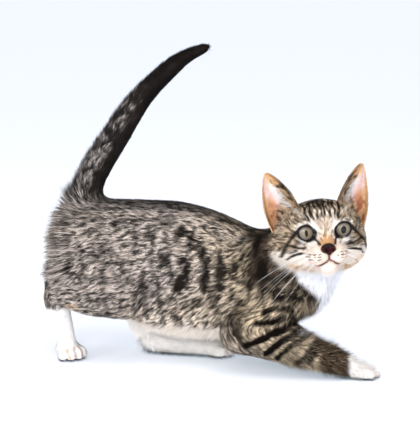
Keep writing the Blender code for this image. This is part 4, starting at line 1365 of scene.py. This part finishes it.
def ear_fur(side, outer, inner, normal, up, crown_last, material):
    """Short fur on the ear's back, rim and inside, and long white hairs from its inner edge."""
    rng = np.random.default_rng(200 + side)
    last_row, last_column = EAR_ROWS - 1.001, EAR_COLUMNS - 1.001

    def on(grid, v, r):
        """Places or directions on the grid, v of the way up it and r of the way round."""
        return bilinear(grid, v * last_row, r * last_column)

    def from_crown(s):
        """How far round the grid a place lies that is s of the way from the crown's edge."""
        return 1 - s if crown_last else s

    def height(v):
        """The share of the ear's height at v of the way up the grid."""
        return EAR_LOW + (EAR_HIGH - EAR_LOW) * v

    def hairs(roots, lift, along, shortest, longer, width, rise, steep=0.0):
        """Hairs of uneven length that stand up by rise and by steep of their length."""
        length = shortest + longer * rng.random(len(roots))
        return Blades(roots, lift, along, length, np.full(len(roots), width), rise + steep * length)

    def random_lean(count, most):
        return most * rng.normal(size=(count, 3))

    count = BACK_HAIRS
    v, r = rng.random(count), rng.random(count)
    roots = on(outer, v, r)
    along = up + random_lean(count, 0.5) * 0.3
    back = hairs(roots, -unit(on(normal, v, r)), along, 2.2, 1.4, 0.26, 0.45)
    back_shades = ear_colour(height(v), np.zeros(count), np.zeros(count), from_head(roots))

    count = RIM_HAIRS
    on_edge = rng.random(count) < 0.6
    v = 0.25 + 0.75 * rng.random(count)
    r = np.where(rng.random(count) < 0.5, 0.03 * rng.random(count), 1 - 0.03 * rng.random(count))
    top = ~on_edge
    v[top], r[top] = 0.97 + 0.03 * rng.random(top.sum()), rng.random(top.sum())
    roots = on(inner, v, r)
    middle = bilinear(outer, v * last_row, np.full(count, (EAR_COLUMNS - 1) / 2))
    rim = hairs(roots, unit(on(normal, v, r)), up + 0.5 * unit(roots - middle), 1.4, 1.2, 0.24, 0.1)
    on_crown = ((r > 0.5) == crown_last) * ramp(v, 0.95, 0.8)
    rim_shades = paint(EAR_BUFF * 1.1, HEAD_TABBY * 0.7, on_crown)

    count = CROWN_HAIRS
    v = rng.random(count)
    s = np.interp(height(v), CROWN_FUR_HEIGHTS, CROWN_FUR_WIDTHS) * rng.random(count)
    roots = on(inner, v, from_crown(s))
    away = unit(on(inner, v, from_crown(np.ones(count))) - roots)
    along = up + 0.55 * away + random_lean(count, 0.18)
    crown = hairs(roots, unit(on(normal, v, from_crown(s))), along, 2.6, 2.2, 0.26, 0.0, 0.16)
    dark = ramp(noise(from_head(roots), 2.2, 72) + 0.3 * (rng.random(count) - 0.5), 0.5, 0.62)
    crown_shades = layered(
        HEAD_TABBY,
        (EAR_BUFF, 0.35 + 0.65 * ramp(height(v), 0.5, 0.85)),
        (STRIPE * 1.5, 0.9 * dark * ramp(height(v), 0.9, 0.7)),
    )

    count = EDGE_HAIRS
    v = 0.1 + 0.88 * rng.random(count)
    s = 0.3 * rng.random(count)
    r = s if crown_last else 1 - s
    roots = on(inner, v, r)
    edge = hairs(roots, unit(on(normal, v, r)), up + random_lean(count, 0.2), 1.8, 1.4, 0.2, 0.0, 0.14)
    spots = ramp(noise(from_head(roots), 2.6, 73), 0.45, 0.6) * ramp(height(v), 0.45, 0.15)
    edge_shades = layered(
        EAR_BUFF,
        (EAR_SKIN, ramp(s, 0.08, 0.2) * ramp(height(v), 0.3, 0.6)),
        (EAR_RUST, ramp(s, 0.1, 0.2) * ramp(height(v), 0.6, 0.3)),
        (EAR_DEEP, 0.85 * spots),
    )

    count = WHITE_HAIRS
    v = 0.4 + 0.4 * rng.random(count)
    s = 0.32 + 0.16 * rng.random(count)
    roots = on(inner, v, from_crown(s))
    away = unit(on(inner, v, from_crown(np.ones(count))) - roots)
    along = away + 0.7 * up + random_lean(count, 0.3)
    white = hairs(roots, unit(on(normal, v, from_crown(s))), along, 3.5, 3.0, 0.14, 0.0, 0.25)
    white_shades = np.tile(WHITE * 0.9, (count, 1))

    pieces = ((back, back_shades, 0.3), (rim, rim_shades, 0.25), (crown, crown_shades, 0.45),
              (edge, edge_shades, 0.3), (white, white_shades, 0.15))
    made = []
    for number, (blades, shades, spread) in enumerate(pieces):
        for key in ("roots", "bend", "tip"):
            setattr(blades, key, from_head(getattr(blades, key)))
        for key in ("normals", "side"):
            setattr(blades, key, getattr(blades, key) @ HEAD_AXES.T)
        blades.jitter = random_lean(len(shades), 0.3)
        tone = 1 + spread * (rng.random(len(shades)) - 0.5) * 2
        shades = np.repeat((shades * tone[:, None])[:, None], 5, axis=1)
        made.append(coat_object(f"fur_ear_{SIDES[side]}_{number + 1}", blades, shades, material, "head"))
    return made


def crown_edge_is_last(sheet):
    """Whether the ear's last column, not its first, is the edge next to the crown."""
    row = sheet[len(sheet) // 2]
    return abs(row[-1, 1]) < abs(row[0, 1])


def bilinear(grid, i, j):
    """The grid's values between its rows and columns."""
    i0, j0 = i.astype(int), j.astype(int)
    s, t = (i - i0)[:, None], (j - j0)[:, None]
    return ((1 - s) * (1 - t) * grid[i0, j0] + s * (1 - t) * grid[i0 + 1, j0]
            + (1 - s) * t * grid[i0, j0 + 1] + s * t * grid[i0 + 1, j0 + 1])


IRIS = colour(108, 99, 92)
IRIS_INNER = colour(124, 114, 88)
IRIS_RING_AND_LID_SHADE = colour(48, 40, 40)
SCLERA = colour(70, 52, 46)
PUPIL = colour(6, 6, 8)
IRIS_RADIUS = 6.0
# Half the width and height of each pupil, and where its iris is centred, left and up of the eye's axis.
PUPIL_HALF = {-1: np.array([1.2, 2.6]), 1: np.array([2.0, 3.0])}
EYE_GAZE = {-1: np.array([1.8, -1.2]), 1: np.array([-1.5, -1.2])}
EYE_RINGS, EYE_SECTORS = 90, 96
# How far forward the cornea's centre lies, and its radius.
CORNEA_CENTRE, CORNEA_RADIUS = 2.9, 7.1


def make_eye(side, material):
    """The eyeball with its bulging cornea, the iris and a narrow pupil drawn on it, and the upper lid's
    painted shadow across the top of the iris.
    """
    polar = np.linspace(0, 1, EYE_RINGS) ** 1.3 * math.pi
    turn = np.arange(EYE_SECTORS) / EYE_SECTORS * math.tau
    p, t = np.meshgrid(polar, turn, indexing="ij")
    direction = np.stack([np.cos(p), np.sin(p) * np.cos(t), np.sin(p) * np.sin(t)], axis=-1)
    along = direction[..., 0] * CORNEA_CENTRE
    bulge = along + np.sqrt(np.maximum(along**2 - CORNEA_CENTRE**2 + CORNEA_RADIUS**2, 0))
    reach = np.maximum(EYE_RADIUS, bulge)
    local = (direction * reach[..., None]).reshape(-1, 3)
    off = local[:, 1:] - EYE_GAZE[side]
    away = np.linalg.norm(off, axis=1)
    angle = np.arctan2(off[:, 1], off[:, 0])
    fibres = 0.5 + 0.5 * np.sin(angle * 37 + 3 * np.sin(angle * 5)) * np.sin(away * 2.1)
    pupil = np.linalg.norm(off / PUPIL_HALF[side], axis=1)
    shade = paint(IRIS, IRIS_INNER, ramp(away, 4.6, 2.2)) * (0.86 + 0.22 * fibres)[:, None]
    shade = layered(
        shade,
        # Painted shadow of the upper lid over the top of the iris, then the iris's own dark outer ring.
        (IRIS_RING_AND_LID_SHADE, 0.6 * ramp(off[:, 1], 2.0, 5.0)),
        (IRIS_RING_AND_LID_SHADE, ramp(away, IRIS_RADIUS - 1.3, IRIS_RADIUS - 0.3)),
        (SCLERA, ramp(away, IRIS_RADIUS - 0.2, IRIS_RADIUS + 0.4)),
        (PUPIL, ramp(pupil, 1.12, 0.92)),
    )
    shade[local[:, 0] < 0] = SCLERA
    points = from_head(local @ turned(EYE_TURN_OUT * side).T + mirrored(EYE_PLACE, side))
    number = np.arange(len(points)).reshape(EYE_RINGS, EYE_SECTORS)
    quads = np.concatenate([grid_faces(number), grid_faces(number[:, [-1, 0]])])
    obj = mesh_from(f"eye_{SIDES[side]}_ball", points, [quads])
    merge_points(obj)
    set_colours_nearest(obj, points, shade)
    obj.data.materials.append(material)
    return obj


def merge_points(obj):
    """Joins the points that coincide, such as a ball's at its ends."""
    with opened(obj) as mesh:
        bmesh.ops.remove_doubles(mesh, verts=mesh.verts, dist=0.002 * MM)
        bmesh.ops.recalc_face_normals(mesh, faces=mesh.faces)
    obj.data.shade_smooth()


def set_colours_nearest(obj, points, shade):
    """Colours the merged mesh from the points that it was made of."""
    keys = {tuple(key): i for i, key in enumerate(np.round(points, 2))}
    kept = points_of(obj)
    index = [keys.get(tuple(key), -1) for key in np.round(kept, 2)]
    for n in np.flatnonzero(np.array(index) < 0):
        index[n] = int(np.linalg.norm(points - kept[n], axis=1).argmin())
    set_colours(obj, shade[np.array(index)])


def tube_rings(path, ahead, radii, sides, reference, loop=False):
    """Points and faces of a round tube along the path, which closes on itself if it is a loop."""
    side = unit(np.cross(ahead, reference))
    other = np.cross(side, ahead)
    turn = np.arange(sides) / sides * math.tau
    ring = side[:, None] * np.cos(turn)[None, :, None] + other[:, None] * np.sin(turn)[None, :, None]
    points = (path[:, None] + ring * radii[:, None, None]).reshape(-1, 3)
    number = np.arange(len(points)).reshape(-1, sides)
    return points, grid_faces(np.pad(number, ((0, int(loop)), (0, 1)), "wrap"))


# How far the lids' rim lies outside the opening and over the eyeball, its radius, and what the
# upper lid's adds to it.
RIM_MARGIN, RIM_LIFT = 0.2, 0.75
RIM_RADIUS, RIM_UPPER_GAIN = 0.54, 0.3


def make_rim(side, material):
    """The dark edge of the lids, lying on the eyeball."""
    slant = math.radians(OPENING_SLANT)
    turn = np.linspace(0, math.tau, 72, endpoint=False)
    along = (OPENING_HALF_WIDTH + RIM_MARGIN) * np.cos(turn)
    across = (OPENING_HALF_HEIGHT + RIM_MARGIN) * np.sign(np.sin(turn)) * np.abs(np.sin(turn)) ** 1.12
    y = OPENING_PLACE[0] + along * math.cos(slant) - across * math.sin(slant)
    z = OPENING_PLACE[1] + along * math.sin(slant) + across * math.cos(slant)
    flat = (y - EYE_PLACE[1]) ** 2 + (z - EYE_PLACE[2]) ** 2
    x = EYE_PLACE[0] + np.sqrt(np.maximum((EYE_RADIUS + RIM_LIFT) ** 2 - flat, 4.0))
    path = from_head(np.column_stack([x, y * side, z]))
    ahead = unit(np.roll(path, -1, axis=0) - np.roll(path, 1, axis=0))
    radii = RIM_RADIUS + RIM_UPPER_GAIN * np.maximum(0, np.sin(turn))
    points, quads = tube_rings(path, ahead, radii, 10, HEAD_AXES[:, 0], loop=True)
    return coloured_mesh(f"lid_rim_{SIDES[side]}", points, quads, PAD * 0.8, material)


# A whisker's sag, as a share of its length along each axis of the head.
WHISKER_SAG = np.array([-0.42, 0, -0.3])


def whisker_starts():
    """Root, direction, length and radius of each whisker and of the bristles above the eyes."""
    rng = np.random.default_rng(7)
    for side in SIDES:
        for row, column in np.ndindex(3, 3):
            root = np.array([29.5 - 1.6 * column, side * (9.5 + 1.9 * column), -13.4 - 2.2 * row])
            reach = 30 + 6 * column + 8 * rng.random()
            away = np.array([0.15 - 0.2 * column, side, -0.1 - 0.3 * row + 0.12 * rng.normal()])
            yield root, unit(away), reach, 0.1
        for k in range(3):
            root = np.array([19.0, side * (12 + 2.0 * k), 12.5 + 0.8 * k])
            yield root, unit(np.array([0.35, side * 0.7, 1.0])), 17 + 4 * rng.random(), 0.08


def make_whiskers(material):
    """Thin tapered bristles in rows on the muzzle, and a few above the eyes, rooted in the skin."""
    points, quads, total = [], [], 0
    t = np.linspace(0, 1, 12)
    for root, direction, reach, thick in whisker_starts():
        path = root + direction * reach * t[:, None] + WHISKER_SAG * reach * (t**2)[:, None]
        root = from_head(root[None])
        path = from_head(path) - root + settle(root, -0.6, 8)
        ahead = unit(np.gradient(path, axis=0))
        upright = np.array([0.1, 0.2, 1.0])
        hair_points, hair_quads = tube_rings(path, ahead, thick * (1 - 0.85 * t), 5, upright)
        points.append(hair_points)
        quads.append(hair_quads + total)
        total += len(hair_points)
    return coloured_mesh("whiskers", np.concatenate(points), np.concatenate(quads), WHITE, material)


# The nose leather's width at its bottom, what it gains up to its top, and its height, all as
# shares of the frame's nose.
NOSE_BOTTOM_WIDTH, NOSE_WIDTH_GAIN, NOSE_HEIGHT = 0.72, 0.16, 0.8


def make_nose():
    """The nose leather: the frame's nose, lower, and narrower most of all at its bottom."""
    obj = new_object("nose_leather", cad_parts["nose"].data.copy())
    obj.matrix_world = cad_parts["nose"].matrix_world.copy()
    local = to_head(points_of(obj))
    bottom, top = local[:, 2].min(), local[:, 2].max()
    rise = (local[:, 2] - bottom) / (top - bottom)
    local[:, 1] *= NOSE_BOTTOM_WIDTH + NOSE_WIDTH_GAIN * rise
    local[:, 2] = bottom + (local[:, 2] - bottom) * NOSE_HEIGHT
    move_points(obj, from_head(local))
    obj.data.materials.clear()
    obj.data.materials.append(nose_material())
    return obj


def nose_material():
    """Dark maroon leather, a little blotchy, with a fine pebbled grain."""
    material, tree, shader = new_material("nose_leather", {"Roughness": 0.5, "Specular IOR Level": 0.1})
    place = tree.nodes.new("ShaderNodeTexCoord").outputs["Object"]
    grain = add_node(tree, "ShaderNodeTexVoronoi", {"Vector": place}, {"Scale": 1500.0})
    blotch = add_node(tree, "ShaderNodeTexNoise", {"Vector": place}, {"Scale": 260.0})
    tint = add_node(tree, "ShaderNodeValToRGB", {"Fac": blotch.outputs["Fac"]}, {})
    dark, light = tint.color_ramp.elements
    dark.position, dark.color = 0.35, (*NOSE_DARK, 1)
    light.position, light.color = 0.7, (*NOSE_LIGHT, 1)
    tree.links.new(tint.outputs["Color"], shader.inputs["Base Color"])
    add_relief(tree, shader, grain.outputs["Distance"], 0.35, 0.15)
    return material


def make_cat():
    """All the pieces, their finishes, and the frame's nodes that they replace."""
    coat = attribute_material("fur", 0.75, tone=0.08, gloss=0.06)
    bare = attribute_material("skin", 0.8, bump=0.5, bump_scale=700, gloss=0.06)
    ear_skin = attribute_material("ear_skin", 0.6, bump=0.25, bump_scale=500, gloss=0.15)
    wet = attribute_material("eye", 0.3, tone=0.05, coat=0.5, gloss=0.1)
    rim = attribute_material("lid_rim", 0.4, bump=0.2, gloss=0.15)
    bristle = attribute_material("whisker", 0.4)
    skin = make_skin()
    skin.data.materials.append(bare)
    pieces = [(skin, "tabby_coat")]
    pieces += [(obj, "tabby_coat") for obj in make_fur(skin, coat)]
    for side in SIDES:
        pieces += [(obj, "ear") for obj in make_ear(side, ear_skin, coat)]
        pieces.append((make_eye(side, wet), "eye"))
        pieces.append((make_rim(side, rim), "nose_leather"))
    pieces.append((make_whiskers(bristle), "white_coat"))
    nose = make_nose()
    pieces.append((nose, "nose_leather"))
    for obj, slot in pieces:
        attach(obj, "root")
    flesh = [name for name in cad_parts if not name.startswith(("ear", "eye", "nose"))]
    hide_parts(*flesh)
    for name in ("right", "left"):
        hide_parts(f"ear_{name}")
        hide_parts(f"eye_{name}")
    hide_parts("nose")


CAMERA_AZIMUTH, CAMERA_ELEVATION, CAMERA_DISTANCE = 14.0, 8.5, 1350.0
CAMERA_TARGET = np.array([0.0, 0.0, 120.3])
LENS = 147.3
# The floor's half width and how far the camera sees, in metres.
FLOOR_REACH, CAMERA_SIGHT = 60.0, 200.0
# Each light's name, place, target, size, power and tint.
LIGHTS = (
    ("key", (0.5, -1.1, 1.3), (0, 0, 0.1), 1.5, 15, (1.0, 0.97, 0.93)),
    ("fill", (-0.8, -1.6, 0.32), (0, 0, 0.06), 1.0, 15, (0.97, 0.98, 1.0)),
    ("catch", (0.08, -1.15, 0.5), (0.08, 0, 0.1), 0.25, 5.5, (1.0, 1.0, 1.0)),
)


def area_light(name, place, target, size, power, tint):
    light = bpy.data.lights.new(name, "AREA")
    light.shape = "DISK"
    light.size = size
    light.energy = power
    light.color = tint
    obj = new_object(name, light)
    obj.location = place
    obj.rotation_euler = (Vector(target) - Vector(place)).to_track_quat("-Z", "Y").to_euler()


def make_camera():
    azimuth, elevation = math.radians(CAMERA_AZIMUTH), math.radians(CAMERA_ELEVATION)
    level = math.cos(elevation)
    away = np.array([math.sin(azimuth) * level, -math.cos(azimuth) * level, math.sin(elevation)])
    camera = bpy.data.cameras.new("camera")
    camera.lens = LENS
    camera.clip_end = CAMERA_SIGHT
    obj = new_object("camera", camera)
    obj.location = (CAMERA_TARGET + away * CAMERA_DISTANCE - MIDDLE) * MM
    obj.rotation_euler = Vector(-away).to_track_quat("-Z", "Y").to_euler()
    bpy.context.scene.camera = obj


def make_stage():
    """A wide pale floor that glows a little, a pale surround, three soft lights and the camera."""
    floor = bpy.data.meshes.new("floor")
    corners = [(x * FLOOR_REACH, y * FLOOR_REACH, 0) for x, y in ((-1, -1), (1, -1), (1, 1), (-1, 1))]
    floor.from_pydata(corners, [], [(0, 1, 2, 3)])
    floor = new_object("floor", floor)
    values = {"Base Color": (0.76, 0.74, 0.77, 1), "Roughness": 0.9,
              "Emission Color": (0.62, 0.84, 1.0, 1), "Emission Strength": 0.27}
    floor.data.materials.append(new_material("floor", values)[0])
    world = bpy.data.worlds.new("studio")
    bpy.context.scene.world = world
    world.use_nodes = True
    set_inputs(world.node_tree.nodes["Background"], {"Color": (0.94, 0.95, 1.0, 1), "Strength": 1.0})
    for light in LIGHTS:
        area_light(*light)
    make_camera()
    bpy.context.scene.view_settings.view_transform = "Standard"


make_cat()
make_stage()
